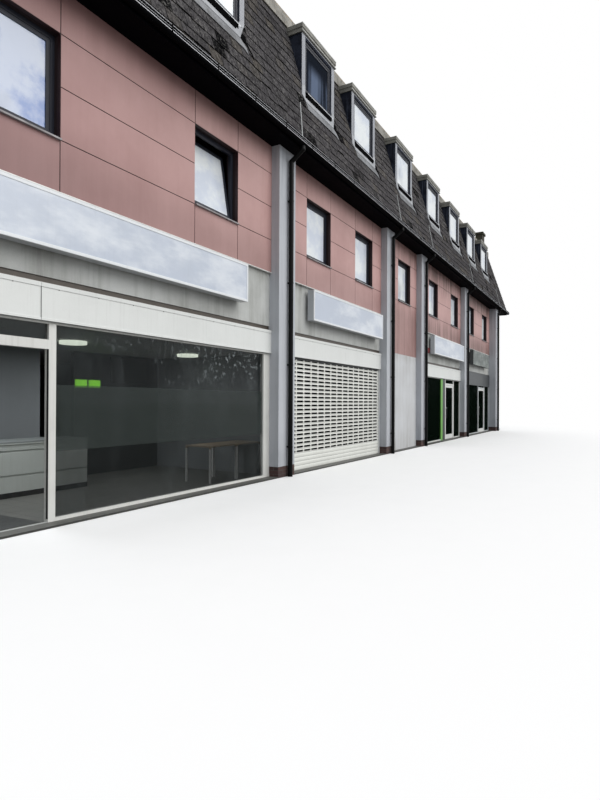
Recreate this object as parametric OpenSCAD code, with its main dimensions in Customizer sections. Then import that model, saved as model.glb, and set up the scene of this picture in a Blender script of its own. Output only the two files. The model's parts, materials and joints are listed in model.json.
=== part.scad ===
// Parade of shops with two storeys of flats above: brick-footed piers, panel cladding,
// a slated mansard with flat-roofed dormers and a perforated roller shutter.
// Street frame: x runs along the front from the left party wall, y runs inwards from the
// pier faces, z is height above the pavement. place() moves it to the middle of the footprint.

/* [Bays along the street] */
// Width of each pier
pier_w = 640; // [560:10:720]
// Clear width of the wide shop bay at the left end
fish_bay_w = 7280; // [6600:20:7900]
// Clear width of the bay with the roller shutter
shutter_bay_w = 5410; // [5000:10:5900]
// Clear width of the narrow rendered stair bay
stair_bay_w = 2720; // [2500:10:3000]
// Clear width of the green shop bay
green_bay_w = 5720; // [5500:10:6200]
// Clear width of the dark shop bay
dark_bay_w = 5870; // [5700:10:6300]
// Length of plain wall between the last pier and the corner
end_bay_w = 1620; // [1200:10:2000]

/* [Depth] */
// Distance between the front and rear faces of the cladding
body_d = 9000; // [8000:50:10500]
// How far the piers stand in front of the cladding
pier_proj = 190; // [150:5:240]
// Extra projection of the last pier
end_pier_proj = 160; // [100:5:220]
// Thickness of the cladding panels
panel_t = 60; // [50:5:80]
// Thickness of the structural outer walls
wall_t = 200; // [180:5:240]
// Thickness of the party walls
party_t = 250; // [200:10:300]

/* [Heights] */
// Top of the ground slab above the pavement
floor_z = 25; // [15:1:60]
// Top of the brick plinths
plinth_z = 225; // [180:5:300]
// Underside of the white fascia boxes, which is the shopfront head
shop_head_z = 2537; // [2480:1:2600]
// Height of the fascia boxes
fascia_h = 461; // [400:1:500]
// Underside of the concrete band
band_z = 3090; // [3060:5:3110]
// Underside of the panel cladding
clad_z = 4183; // [4120:1:4250]
// Top of the first floor slab
first_floor_z = 3950; // [3850:10:4050]
// Sill of the first floor windows
sill_z = 4853; // [4750:1:4950]
// Underside of the eaves
soffit_z = 6771; // [6700:1:6850]
// Underside of the attic floor slab
attic_z = 7050; // [7020:5:7100]
// Thickness of the floor slabs
slab_t = 200; // [160:5:220]
// Foot of the slates
slate_foot_z = 6893; // [6880:1:6930]
// Top of the slates
slate_top_z = 10130; // [10090:5:10250]
// Height of the roof deck edge band
kerb_h = 270; // [220:5:330]

/* [Roof] */
// Distance of the slate foot in front of the cladding
eaves_out = 490; // [460:5:560]
// Pitch of the slates, in degrees
slate_a = 73.64; // [73:0.02:74.5]
// Horizontal thickness of the mansard
mansard_t = 250; // [220:5:280]
// Radius of the half-round gutter
gutter_r = 60; // [50:1:70]
// Wall of the gutter
gutter_wall = 4; // [3:0.5:6]
// Diameter of the downpipes
pipe_d = 100; // [80:1:110]
// Thickness of the roof deck
deck_t = 150; // [120:5:180]
// Width of the chimney along the street
chimney_w = 600; // [500:10:700]
// Height of the chimney above the roof deck
chimney_h = 1150; // [900:10:1300]
// Depth of the chimney
chimney_d = 380; // [340:10:620]

/* [Windows] */
// Width of every window opening
window_w = 1200; // [1100:10:1300]
// Height of a first floor window opening
window_h = 1350; // [1250:10:1400]
// Distance from a pier to the first window of a bay
window_margin = 840; // [780:10:900]
// Distance from a pier to the windows of the wide bay
fish_window_margin = 1155; // [1000:5:1300]
// Pitch of the two windows of the shutter bay
shutter_window_pitch = 2680; // [2500:10:2800]
// Pitch of the two windows of the green bay
green_window_pitch = 3190; // [3000:10:3300]
// Pitch of the two windows of the dark bay
dark_window_pitch = 3080; // [2900:10:3300]
// Depth of the window reveal from the cladding face to the frame
reveal = 120; // [80:5:150]
// Face width of the window frames
frame_w = 60; // [45:1:75]
// Depth of the window frames
frame_d = 60; // [50:1:80]
// Face width of the sashes
sash_w = 55; // [40:1:70]
// Thickness of the double glazing
pane_t = 24; // [18:1:28]
// Lean of the sash that is tilted inwards, in degrees
tilt_a = 9; // [5:1:14]

/* [Dormers] */
// Width of a dormer window opening
dormer_window_w = 1310; // [1200:10:1400]
// Height of a dormer window opening
dormer_h = 1210; // [1150:5:1240]
// Drop from the top of the slates to the top of the dormer roofs
dormer_drop = 50; // [30:5:100]
// Width of the frame strip beside a dormer window
dormer_strip = 150; // [110:5:170]
// Height of the strip over a dormer window
dormer_head = 80; // [60:5:110]
// Distance of the dormer front behind the slates at its sill
dormer_in = 29; // [10:1:60]
// Thickness of the front panel
dormer_panel_t = 80; // [60:5:110]
// Drop from a dormer window to the top of its sill
dormer_sill_drop = 60; // [40:5:80]
// How far the dormer sill stands out of the slates
dormer_sill_out = 35; // [20:5:60]
// Height of the dormer sill
dormer_sill_t = 70; // [50:5:90]
// Thickness of the cheeks
cheek_t = 60; // [45:5:80]
// Thickness of the dormer roof edge
dormer_roof_t = 190; // [150:5:200]
// Overhang of the dormer roof at the front and the sides
dormer_over = 45; // [30:5:90]

/* [Shopfronts] */
// Depth of the shopfront frames
shop_frame_d = 80; // [60:5:100]
// Face width of the shopfront posts
shop_frame_w = 70; // [60:1:90]
// Height of the shopfront foot rails
foot_rail_h = 40; // [30:1:60]
// Height of the shopfront head rails
head_rail_h = 30; // [25:1:50]
// Setback of the shopfronts behind the pier faces
shop_setback = 220; // [215:1:240]
// Thickness of the shop glass
shop_glass_t = 10; // [8:1:12]
// Width of the fixed post beside the wide shop's door
fish_post_w = 103; // [80:1:140]
// Distance from the first pier to that post
fish_post_x = 2238; // [2000:2:2400]
// Width of the wide shop's door opening
fish_door_w = 1060; // [950:10:1150]
// Width of the wide shop's right jamb
fish_jamb_w = 220; // [150:5:260]
// Height of the wide shop's door opening above the slab
fish_door_h = 2165; // [2000:5:2200]
// Height of the green and dark shops' door openings above the slab
shop_door_h = 2260; // [2000:5:2300]
// Height of the transom above the wide shop's door
fish_transom_h = 118; // [80:2:150]
// Distance from the pier to the green shop's door frame
green_door_x = 3259; // [3100:1:3400]
// Width of the green shop's door opening
green_door_w = 1263; // [1150:1:1350]
// Width of the bright panel in the green shop's front
green_strip_w = 247; // [200:1:300]
// Width of the dark panel between it and the door frame
green_panel_w = 354; // [300:2:400]
// Distance from the pier to the dark shop's door frame
dark_door_x = 3182; // [2900:2:3300]
// Width of the dark shop's door opening
dark_door_w = 1426; // [1200:2:1500]
// Thickness of the door leaves
leaf_t = 50; // [40:1:60]
// Face width of the door leaf members
leaf_w = 90; // [70:5:110]
// Height of the bottom rail of a door leaf
leaf_foot = 180; // [120:10:260]
// Gap round the door leaves
door_gap = 8; // [7:0.5:10]
// Angle at which the wide shop's door stands open, in degrees
fish_door_open = 90; // [60:5:90]

/* [Signs] */
// Depth of the sign boxes
sign_d = 166; // [120:2:180]
// Underside of the sign boxes
sign_z = 3400; // [3350:5:3450]
// Height of the sign boxes
sign_h = 690; // [600:5:720]
// Length of the wide shop's sign
fish_sign_w = 5110; // [4800:10:5600]
// Length of the sign over the roller shutter
shutter_sign_w = 4230; // [3800:10:4500]
// How far that sign stands right of the middle of its bay
shutter_sign_shift = 260; // [0:20:400]
// Length of the green shop's sign
green_sign_w = 4600; // [4300:10:4780]
// How far that sign stands right of the middle of its bay
green_sign_shift = 430; // [0:10:450]
// Length of the dark shop's sign
dark_sign_w = 3650; // [3400:10:4200]

/* [Roller shutter] */
// Width of the shutter guides
guide_w = 85; // [70:1:100]
// Thickness of the shutter curtain
curtain_t = 16; // [12:1:20]
// Height of one lath
lath_h = 93; // [85:1:100]
// Length of a slot
slot_w = 300; // [250:5:310]
// Height of a slot
slot_h = 44; // [30:1:50]
// Pitch of the slots along a lath
slot_pitch = 341; // [330:1:380]
// Number of solid laths at the foot
solid_laths = 4; // [3:1:6]

/* [Wide shop's interior] */
// Underside of the suspended ceiling
ceiling_z = 2550; // [2550:10:2900]
// Distance of the back wall behind the pier faces
back_wall_y = 3500; // [3200:20:3600]
// Thickness of the back wall
back_wall_t = 100; // [75:5:150]
// Distance from the pier to the passage through the back wall
passage_in = 4390; // [4300:10:4600]
// Width of that passage
passage_w = 750; // [700:10:900]
// Distance from the pier to the counter
counter_in = 700; // [500:10:900]
// Length of the counter
counter_l = 3760; // [3200:20:4600]
// Height of the counter
counter_h = 875; // [850:5:1050]
// Depth of the counter
counter_d = 700; // [600:10:800]
// Distance of the counter front behind the pier faces
counter_y = 2250; // [2000:10:2500]

/* [Hidden] */
seat = 0.3;
round_fn = 48;
joint_w = 13;
joint_d = 10;

bay_ws = [fish_bay_w, shutter_bay_w, stair_bay_w, green_bay_w, dark_bay_w, end_bay_w];
fish = 0;
shutter = 1;
stair = 2;
green = 3;
dark = 4;
end = 5;
bays = [fish, shutter, stair, green, dark, end];
piers = [0, 1, 2, 3, 4, 5];
last_pier = 5;

function sum_to(v, n) = n <= 0 ? 0 : v[n - 1] + sum_to(v, n - 1);
function pier_x(i) = i * pier_w + sum_to(bay_ws, i);
function bay_x(i) = pier_x(i) + pier_w;
function bay_end(i) = bay_x(i) + bay_ws[i];

body_l = bay_end(end);
front_y = pier_proj;
rear_y = front_y + body_d;
wall_y = front_y + panel_t;
inner_y = wall_y + wall_t;
mid_y = front_y + body_d / 2;

window_xs = [
    bay_x(fish) + fish_window_margin,
    bay_end(fish) - fish_window_margin - window_w,
    bay_x(shutter) + window_margin,
    bay_x(shutter) + window_margin + shutter_window_pitch,
    bay_x(stair) + window_margin,
    bay_x(green) + window_margin,
    bay_x(green) + window_margin + green_window_pitch,
    bay_x(dark) + window_margin,
    bay_x(dark) + window_margin + dark_window_pitch
];
tilted = 1;

head_z = sill_z + window_h;
mid_joint_z = sill_z + window_h / 2;
sill_t = 15;
sill_out = 40;
sash_back = 8;

slate_rise = slate_top_z - slate_foot_z;
slate_run = slate_rise / tan(slate_a);
slate_back = slate_run - eaves_out;
function slate_y(z) = front_y - eaves_out + slate_run * (z - slate_foot_z) / slate_rise;
function slate_z(y) = slate_foot_z + slate_rise * (y - front_y + eaves_out) / slate_run;

fascia_t = 25;
soffit_t = 18;
gutter_lap = 20;
fascia_y = front_y - eaves_out + gutter_lap;
gutter_y = fascia_y - gutter_r;
gutter_drop = 35;
gutter_z = slate_foot_z - gutter_drop;
eaves_x = body_l + (front_y - fascia_y) + 2 * gutter_r;
mid_x = eaves_x / 2;

dormer_xs = [for (x = window_xs) x + (window_w - dormer_window_w) / 2];
dormer_roof_z = slate_top_z - dormer_drop - dormer_roof_t;
dormer_head_z = dormer_roof_z - dormer_head;
dormer_sill_z = dormer_head_z - dormer_h;
dormer_y = slate_y(dormer_sill_z) + dormer_in;

// Shared forms

module place() translate([-mid_x, -mid_y, 0]) children();

module box(x, y, z)
    translate([x[0], y[0], z[0]]) cube([x[1] - x[0], y[1] - y[0], z[1] - z[0]]);

// A shape drawn in height over depth, run along the street
module along_street(x0, x1)
    translate([x0, 0, 0]) rotate([90, 0, 90]) linear_extrude(x1 - x0) children();

// A shape drawn in height over length, run into the depth
module into_depth(y0, y1)
    translate([0, y1, 0]) rotate([90, 0, 0]) linear_extrude(y1 - y0) children();

module rect(x0, x1, z0, z1)
    translate([x0, z0]) square([x1 - x0, z1 - z0]);

// The front piece and its mirror image on the rear
module front_and_rear() {
    children();
    in_rear() children();
}

module in_rear()
    translate([0, 2 * mid_y, 0]) mirror([0, 1, 0]) children();

// A rectangular ring of members in the plane of the street
module ring(x0, x1, z0, z1, w, y0, y1)
    into_depth(y0, y1) difference() {
        rect(x0, x1, z0, z1);
        rect(x0 + w, x1 - w, z0 + w, z1 - w);
    }

// Structure

module ground_slab()
    place() color("darkgray") difference() {
        box([0, body_l], [0, rear_y], [0, floor_z]);
        for (i = piers)
            box([pier_x(i), pier_x(i) + pier_w], [-end_pier_proj, inner_y], [-1, floor_z + 1]);
    }

module first_floor_slab()
    place() color("silver")
        box([party_t, body_l - wall_t - panel_t], [inner_y, 2 * mid_y - inner_y],
            [first_floor_z - slab_t, first_floor_z]);

attic_edge_y = slate_y(attic_z + slab_t) + mansard_t + seat;

module attic_floor_slab()
    place() color("silver")
        box([party_t, body_l + front_y - attic_edge_y], [attic_edge_y, 2 * mid_y - attic_edge_y],
            [attic_z, attic_z + slab_t]);

deck_edge = slate_back + seat;

module roof_deck()
    place() color("dimgray")
        box([0, body_l - deck_edge], [front_y + deck_edge, rear_y - deck_edge],
            [slate_top_z, slate_top_z + deck_t]);

kerb_t = 40;
kerb_cap = 120;
kerb_cap_t = 30;

// An upstand against the edge of the deck with a cap turned over it
module kerb_profile() {
    y = front_y + slate_back;
    polygon([
        [y - kerb_t, slate_top_z], [y, slate_top_z], [y, slate_top_z + kerb_h - kerb_cap_t],
        [y + kerb_cap, slate_top_z + kerb_h - kerb_cap_t], [y + kerb_cap, slate_top_z + kerb_h],
        [y - kerb_t, slate_top_z + kerb_h]
    ]);
}

module roof_kerb()
    place() color("gray") round_the_corner() along_street(0, eaves_x) kerb_profile();

function pier_front(i) = i == last_pier ? -end_pier_proj : 0;

module front_piers()
    place() color("lightsteelblue")
        for (i = piers)
            along_street(pier_x(i), pier_x(i) + pier_w) polygon([
                [pier_front(i), plinth_z], [inner_y, plinth_z], [inner_y, clad_z],
                [wall_y, clad_z], [wall_y, soffit_z], [pier_front(i), soffit_z]
            ]);

module pier_plinths()
    place() color("brown")
        for (i = piers)
            box([pier_x(i), pier_x(i) + pier_w], [pier_front(i), inner_y], [0, plinth_z]);

function party_x(i) = pier_x(i) + (pier_w - party_t) / 2;
passage_x = bay_x(fish) + passage_in;

// The party walls between the shops, and the back wall of the wide shop, in two lengths
// with a passage between them
module shop_party_walls()
    place() color("linen") {
        for (i = [1 : last_pier])
            box([party_x(i), party_x(i) + party_t], [inner_y, 2 * mid_y - inner_y],
                [floor_z, first_floor_z - slab_t]);
        for (x = [[party_t, passage_x], [passage_x + passage_w, party_x(1) - seat]])
            box(x, [back_wall_y, back_wall_y + back_wall_t], [floor_z, ceiling_z]);
    }

module left_party_wall()
    place() color("peru")
        along_street(0, party_t) polygon([
            [inner_y, floor_z], [2 * mid_y - inner_y, floor_z],
            [2 * mid_y - inner_y, attic_z], [2 * mid_y - wall_y, attic_z],
            [2 * mid_y - wall_y, soffit_z + soffit_t],
            [2 * mid_y - slate_y(slate_foot_z) - mansard_t, soffit_z + soffit_t],
            [2 * mid_y - slate_y(slate_foot_z) - mansard_t, slate_foot_z],
            [2 * mid_y - slate_y(slate_top_z) - mansard_t, slate_top_z],
            [slate_y(slate_top_z) + mansard_t, slate_top_z],
            [slate_y(slate_foot_z) + mansard_t, slate_foot_z],
            [slate_y(slate_foot_z) + mansard_t, soffit_z + soffit_t],
            [wall_y, soffit_z + soffit_t], [wall_y, attic_z], [inner_y, attic_z]
        ]);

end_wall_x = body_l - wall_t - panel_t;

module right_end_wall()
    place() color("rosybrown") {
        box([end_wall_x, body_l], [inner_y, 2 * mid_y - inner_y], [floor_z, soffit_z]);
        box([end_wall_x, body_l - panel_t], [inner_y, 2 * mid_y - inner_y], [soffit_z, attic_z]);
    }

module window_holes(z0, z1)
    for (x = window_xs)
        rect(x, x + window_w, z0, z1);

rear_light_z = 1400;
rear_light_h = 900;

render_top_z = 3124;

module rendered_walls()
    place() color("gainsboro") {
        for (i = [stair, end])
            along_street(bay_x(i), bay_end(i)) polygon([
                [front_y, floor_z], [inner_y, floor_z], [inner_y, band_z],
                [wall_y, band_z], [wall_y, clad_foot(i)], [front_y, clad_foot(i)]
            ]);
        in_rear() into_depth(front_y, inner_y) difference() {
            rect(0, body_l, floor_z, band_z);
            window_holes(rear_light[0], rear_light[1]);
        }
    }

module rear_upper_wall()
    place() color("rosybrown")
        in_rear() {
            into_depth(front_y, wall_y) difference() {
                rect(0, body_l, clad_z, soffit_z);
                window_holes(sill_z, head_z);
            }
            into_depth(wall_y, inner_y) difference() {
                rect(0, body_l - panel_t, clad_z, attic_z);
                window_holes(sill_z, head_z);
            }
        }

module front_upper_wall()
    place() color("tan")
        into_depth(wall_y, inner_y) difference() {
            rect(0, body_l - panel_t, clad_z, attic_z);
            window_holes(sill_z, head_z);
        }

// Cladding: one sheet of panels a bay, scored with joints at the window edges, heads and sills

function clad_foot(i) = i == stair || i == end ? render_top_z : clad_z;

module panel_joints(i) {
    for (z = [sill_z, mid_joint_z, head_z])
        rect(bay_x(i) - 1, bay_end(i) + 1, z - joint_w / 2, z + joint_w / 2);
    for (x = window_xs, e = [0, window_w])
        if (x > bay_x(i) && x < bay_end(i))
            rect(x + e - joint_w / 2, x + e + joint_w / 2, clad_foot(i) - 1, soffit_z + 1);
}

module front_cladding()
    place() color("rosybrown")
        for (i = bays)
            difference() {
                into_depth(front_y, wall_y) difference() {
                    rect(bay_x(i), bay_end(i), clad_foot(i), soffit_z);
                    window_holes(sill_z, head_z);
                }
                into_depth(front_y - 1, front_y + joint_d) panel_joints(i);
            }

band_back = 40;
band_y = front_y + band_back;

module concrete_bands()
    place() color("gray") {
        for (i = bays)
            box([bay_x(i), bay_end(i)], [i == stair || i == end ? wall_y : band_y, inner_y],
                [band_z, clad_z]);
        box([0, body_l], [2 * mid_y - inner_y, 2 * mid_y - band_y], [band_z, clad_z]);
    }

// Shop heads

fascia_out = 10;
fascia_hook = 30;

module fascia_box(i, z0, z1)
    along_street(bay_x(i), bay_end(i)) polygon([
        [front_y - fascia_out, z0], [inner_y, z0], [inner_y, band_z],
        [shop_setback + fascia_hook, band_z], [shop_setback + fascia_hook, z1],
        [front_y - fascia_out, z1]
    ]);

module fascia_boxes()
    place() color("white")
        for (i = [fish, shutter, green])
            fascia_box(i, shop_head_z, shop_head_z + fascia_h);

sign_rail = 40;
sign_rail_in = 100;

// A sign box on two rails that hold it off the concrete band
module sign_box(i, w, shift) {
    x0 = bay_x(i) + (bay_ws[i] - w) / 2 + shift;
    box([x0, x0 + w], [0, sign_d], [sign_z, sign_z + sign_h]);
    for (z = [sign_z + sign_rail_in, sign_z + sign_h - sign_rail_in - sign_rail])
        box([x0 + sign_rail_in, x0 + w - sign_rail_in], [sign_d, band_y], [z, z + sign_rail]);
}

module sign_boxes()
    place() color("lightsteelblue") {
        sign_box(fish, fish_sign_w, 0);
        sign_box(shutter, shutter_sign_w, shutter_sign_shift);
        sign_box(green, green_sign_w, green_sign_shift);
    }

dark_fascia_drop = 116;
dark_fascia_top = 20;

module dark_shop_signs()
    place() color("dimgray") {
        fascia_box(dark, shop_head_z, band_z - dark_fascia_top);
        box([bay_x(dark), bay_end(dark)], [front_y - fascia_out, shop_setback - seat],
            [shop_head_z - dark_fascia_drop, shop_head_z]);
        sign_box(dark, dark_sign_w, 0);
    }

// Roller shutter: perforated laths above solid ones

curtain_in = 20;
curtain_y = shop_setback + curtain_in;
curtain_x0 = bay_x(shutter) + guide_w;
curtain_x1 = bay_end(shutter) - guide_w;
slot_rows = floor((shop_head_z - floor_z) / lath_h) - solid_laths;
slot_cols = floor((curtain_x1 - curtain_x0) / slot_pitch);
slot_x0 = (curtain_x0 + curtain_x1 - slot_cols * slot_pitch) / 2;

module roller_shutter()
    place() color("whitesmoke")
        into_depth(curtain_y, curtain_y + curtain_t) difference() {
            rect(curtain_x0, curtain_x1, floor_z, shop_head_z);
            for (r = [0 : slot_rows - 1], c = [0 : slot_cols - 1])
                translate([slot_x0 + (c + 0.5) * slot_pitch,
                           floor_z + (solid_laths + r + 0.5) * lath_h])
                    square([slot_w, slot_h], center = true);
        }

module shutter_guides()
    place() color("white")
        for (x = [bay_x(shutter), bay_end(shutter) - guide_w])
            box([x, x + guide_w], [shop_setback, shop_setback + shop_frame_d],
                [floor_z, shop_head_z]);

// Shopfronts

frame_y0 = shop_setback;
frame_y1 = shop_setback + shop_frame_d;
glass_y0 = (frame_y0 + frame_y1 - shop_glass_t) / 2;
glass_y1 = glass_y0 + shop_glass_t;
fish_door_top = floor_z + fish_door_h;
shop_door_top = floor_z + shop_door_h;

frame_foot = floor_z + foot_rail_h;
frame_head = shop_head_z - head_rail_h;

// Posts run the full height and the rails are cut to fit between them. A light is
// the glazed space between two posts: its rails are given by their foot and top
module shop_post(x)
    box(x, [frame_y0, frame_y1], [floor_z, shop_head_z]);

module shop_rail(x, z)
    box([x[0] + seat, x[1] - seat], [frame_y0, frame_y1], z);

module glazed_light(x, z)
    box(x, [glass_y0, glass_y1], z);

foot_rail = [floor_z, frame_foot];
head_rail = [frame_head, shop_head_z];
tall_light = [frame_foot, frame_head];

fish_left_jamb = [bay_x(fish), bay_x(fish) + shop_frame_w];
fish_post = [bay_x(fish) + fish_post_x, bay_x(fish) + fish_post_x + fish_post_w];
fish_door = [fish_post[0] - fish_door_w, fish_post[0]];
fish_mid_post = [fish_door[0] - shop_frame_w, fish_door[0]];
fish_right_jamb = [bay_end(fish) - fish_jamb_w, bay_end(fish)];
fish_transom = [fish_door_top, fish_door_top + fish_transom_h];
fish_side_light = [fish_left_jamb[1], fish_mid_post[0]];
fish_wide_light = [fish_post[1], fish_right_jamb[0]];

module fish_shopfront()
    place() color("white") {
        for (x = [fish_left_jamb, fish_mid_post, fish_post, fish_right_jamb])
            shop_post(x);
        for (x = [fish_side_light, fish_wide_light], z = [foot_rail, head_rail])
            shop_rail(x, z);
        for (z = [fish_transom, head_rail])
            shop_rail(fish_door, z);
        translate([fish_axis_x, 0, 0]) mirror([1, 0, 0]) frame_hinges(0, fish_door_h);
    }

green_left_jamb = [bay_x(green), bay_x(green) + shop_frame_w];
green_door = [bay_x(green) + green_door_x + shop_frame_w,
              bay_x(green) + green_door_x + shop_frame_w + green_door_w];
green_mid_post = [green_door[0] - shop_frame_w, green_door[0]];
green_panel = [green_mid_post[0] - green_panel_w, green_mid_post[0] - seat];
green_strip = [green_panel[0] - green_strip_w, green_panel[0] - seat];
green_post = [green_door[1], green_door[1] + shop_frame_w];
green_right_jamb = [bay_end(green) - shop_frame_w, bay_end(green)];
door_head_rail = [shop_door_top, shop_door_top + shop_frame_w];
green_window = [green_left_jamb[1], green_strip[0]];
green_side_light = [green_post[1], green_right_jamb[0]];

module green_shopfront()
    place() color("white") {
        for (x = [green_left_jamb, green_strip, green_panel, green_mid_post, green_post,
                  green_right_jamb])
            shop_post(x);
        for (x = [green_window, green_side_light], z = [foot_rail, head_rail])
            shop_rail(x, z);
        for (z = [door_head_rail, head_rail])
            shop_rail(green_door, z);
        frame_hinges(green_axis_x, shop_door_h);
    }

dark_left_jamb = [bay_x(dark), bay_x(dark) + shop_frame_w];
dark_door = [bay_x(dark) + dark_door_x + shop_frame_w,
             bay_x(dark) + dark_door_x + shop_frame_w + dark_door_w];
dark_mid_post = [dark_door[0] - shop_frame_w, dark_door[0]];
dark_post = [dark_door[1], dark_door[1] + shop_frame_w];
dark_right_jamb = [bay_end(dark) - shop_frame_w, bay_end(dark)];
dark_window = [dark_left_jamb[1], dark_mid_post[0]];
dark_side_light = [dark_post[1], dark_right_jamb[0]];

module dark_shopfront()
    place() color("dimgray") {
        for (x = [dark_left_jamb, dark_mid_post, dark_post, dark_right_jamb])
            shop_post(x);
        for (x = [dark_window, dark_side_light], z = [foot_rail, head_rail])
            shop_rail(x, z);
        for (z = [door_head_rail, head_rail])
            shop_rail(dark_door, z);
        frame_hinges(dark_axis_x, shop_door_h);
    }

module shopfront_glass()
    place() color("lightblue") {
        for (x = [fish_side_light, fish_wide_light, green_window, green_side_light,
                  dark_window, dark_side_light])
            glazed_light(x, tall_light);
        glazed_light(fish_door, [fish_transom[1], frame_head]);
        for (x = [green_door, dark_door])
            glazed_light(x, [door_head_rail[1], frame_head]);
    }

// Doors: glazed leaves on three butt hinges, drawn with the axis at the origin, the leaf
// running along -x and the street side facing -y

knuckle_r = 8;
knuckle_h = 40;
hinge_proj = 8;
hinge_in = 250;
flange_w = 40;
flange_t = 4;
axis_y = frame_y1 + hinge_proj;
leaf_y0 = -axis_y + (frame_y0 + frame_y1 - leaf_t) / 2;
leaf_y1 = leaf_y0 + leaf_t;
foot_play = 2;
foot_gap = door_gap + foot_play;
handle_r = 15;
handle_l = 450;
handle_z = 900;
handle_stand = 45;
handle_post_r = 9;
handle_post_in = 90;

function hinge_zs(h) = [floor_z + hinge_in, floor_z + h / 2, floor_z + h - hinge_in];
function leaf_x(w) = [-w + 1.5 * door_gap, -door_gap / 2];
function leaf_z(h) = [floor_z + foot_gap, floor_z + h - door_gap];
function pane_x(w) = [leaf_x(w)[0] + leaf_w, leaf_x(w)[1] - leaf_w];
function pane_z(h) = [leaf_z(h)[0] + leaf_foot, leaf_z(h)[1] - leaf_w];

module door_leaf(w, h) {
    into_depth(leaf_y0, leaf_y1) difference() {
        rect(leaf_x(w)[0], leaf_x(w)[1], leaf_z(h)[0], leaf_z(h)[1]);
        rect(pane_x(w)[0], pane_x(w)[1], pane_z(h)[0], pane_z(h)[1]);
    }
    for (z = hinge_zs(h)) {
        translate([0, 0, z - knuckle_h / 2]) cylinder(r = knuckle_r, h = knuckle_h, $fn = round_fn);
        box([-2 * knuckle_r, 0], [leaf_y1, knuckle_r / 2], [z - knuckle_h / 2, z + knuckle_h / 2]);
    }
    for (s = [-1, 1])
        door_handle(leaf_x(w)[0] + leaf_w / 2, s);
}

// A pull bar on two posts, on the street side or the room side of the leaf
module door_handle(x, s) {
    face = s < 0 ? leaf_y0 : leaf_y1;
    translate([x, face + s * handle_stand, handle_z])
        cylinder(r = handle_r, h = handle_l, $fn = round_fn);
    for (z = [handle_z + handle_post_in, handle_z + handle_l - handle_post_in])
        translate([x, face, z]) rotate([-90 * s, 0, 0])
            cylinder(r = handle_post_r, h = handle_stand, $fn = round_fn);
}

module door_pane(w, h) {
    y0 = (leaf_y0 + leaf_y1 - shop_glass_t) / 2;
    box(pane_x(w), [y0, y0 + shop_glass_t], pane_z(h));
}

// Fixed knuckles above and below each leaf knuckle, on a flange on the jamb
module frame_hinges(x, h)
    translate([x, axis_y, 0])
        for (z = hinge_zs(h), s = [-1, 1])
            translate([0, 0, z + s * (knuckle_h + seat) - knuckle_h / 2]) {
                cylinder(r = knuckle_r, h = knuckle_h, $fn = round_fn);
                box([0, flange_w], [-hinge_proj, flange_t - hinge_proj], [0, knuckle_h]);
            }

fish_axis_x = fish_door[0] + door_gap / 2;
green_axis_x = green_door[1] - door_gap / 2;
dark_axis_x = dark_door[1] - door_gap / 2;

// The wide shop's door hangs on its left post and stands open into the room
module hung_open()
    translate([fish_axis_x, axis_y, 0]) rotate([0, 0, fish_door_open])
        mirror([1, 0, 0]) children();

module fish_shop_door()
    place() color("white") hung_open() door_leaf(fish_door_w, fish_door_h);

module fish_door_glass()
    place() color("lightblue") hung_open() door_pane(fish_door_w, fish_door_h);

module green_shop_door()
    place() color("white")
        translate([green_axis_x, axis_y, 0]) door_leaf(green_door_w, shop_door_h);

module green_door_glass()
    place() color("lightblue")
        translate([green_axis_x, axis_y, 0]) door_pane(green_door_w, shop_door_h);

module dark_shop_door()
    place() color("white")
        translate([dark_axis_x, axis_y, 0]) door_leaf(dark_door_w, shop_door_h);

module dark_door_glass()
    place() color("lightblue")
        translate([dark_axis_x, axis_y, 0]) door_pane(dark_door_w, shop_door_h);

// Windows

win_y0 = front_y + reveal;
win_y1 = win_y0 + frame_d;
win_foot = sill_z + sill_t;

module casement_frame(x, w, z, y0) {
    ring(x, x + w, z[0], z[1], frame_w, y0, y0 + frame_d);
    ring(x + frame_w, x + w - frame_w, z[0] + frame_w, z[1] - frame_w, sash_w,
         y0 + sash_back, y0 + frame_d);
}

module casement_pane(x, w, z, y0) {
    in = frame_w + sash_w;
    py = y0 + (frame_d + sash_back - pane_t) / 2;
    box([x + in, x + w - in], [py, py + pane_t], [z[0] + in, z[1] - in]);
}

module tilt_sash(x, z0, y0)
    translate([x, y0 + frame_d, z0 + frame_w + seat]) rotate([-tilt_a, 0, 0])
        translate([-x, -y0 - frame_d, -z0 - frame_w - seat]) children();

sash_gap = 4;

dormer_frame_y = dormer_y + dormer_panel_t - frame_d;
dormer_light = [dormer_sill_z, dormer_head_z];
first_light = [win_foot, head_z];
rear_light = [rear_light_z, rear_light_z + rear_light_h];

// The sash that is tilted inwards, with a gap to its frame
tilt_x = [window_xs[tilted] + frame_w + sash_gap,
          window_xs[tilted] + window_w - frame_w - sash_gap];
tilt_z = [win_foot + frame_w + seat, head_z - frame_w - 3 * sash_gap];
tilt_pane_y = (win_y0 + win_y1 + sash_back - pane_t) / 2;

module window_frames()
    place() color("darkslategray") {
        for (k = [0 : len(window_xs) - 1])
            if (k == tilted)
                ring(window_xs[k], window_xs[k] + window_w, win_foot, head_z, frame_w, win_y0, win_y1);
            else
                casement_frame(window_xs[k], window_w, first_light, win_y0);
        tilt_sash(window_xs[tilted], win_foot, win_y0)
            ring(tilt_x[0], tilt_x[1], tilt_z[0], tilt_z[1], sash_w, win_y0 + sash_back, win_y1);
        front_and_rear() for (x = dormer_xs)
            casement_frame(x, dormer_window_w, dormer_light, dormer_frame_y);
        in_rear() for (x = window_xs) {
            casement_frame(x, window_w, first_light, win_y0);
            casement_frame(x, window_w, rear_light, win_y0);
        }
    }

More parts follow.
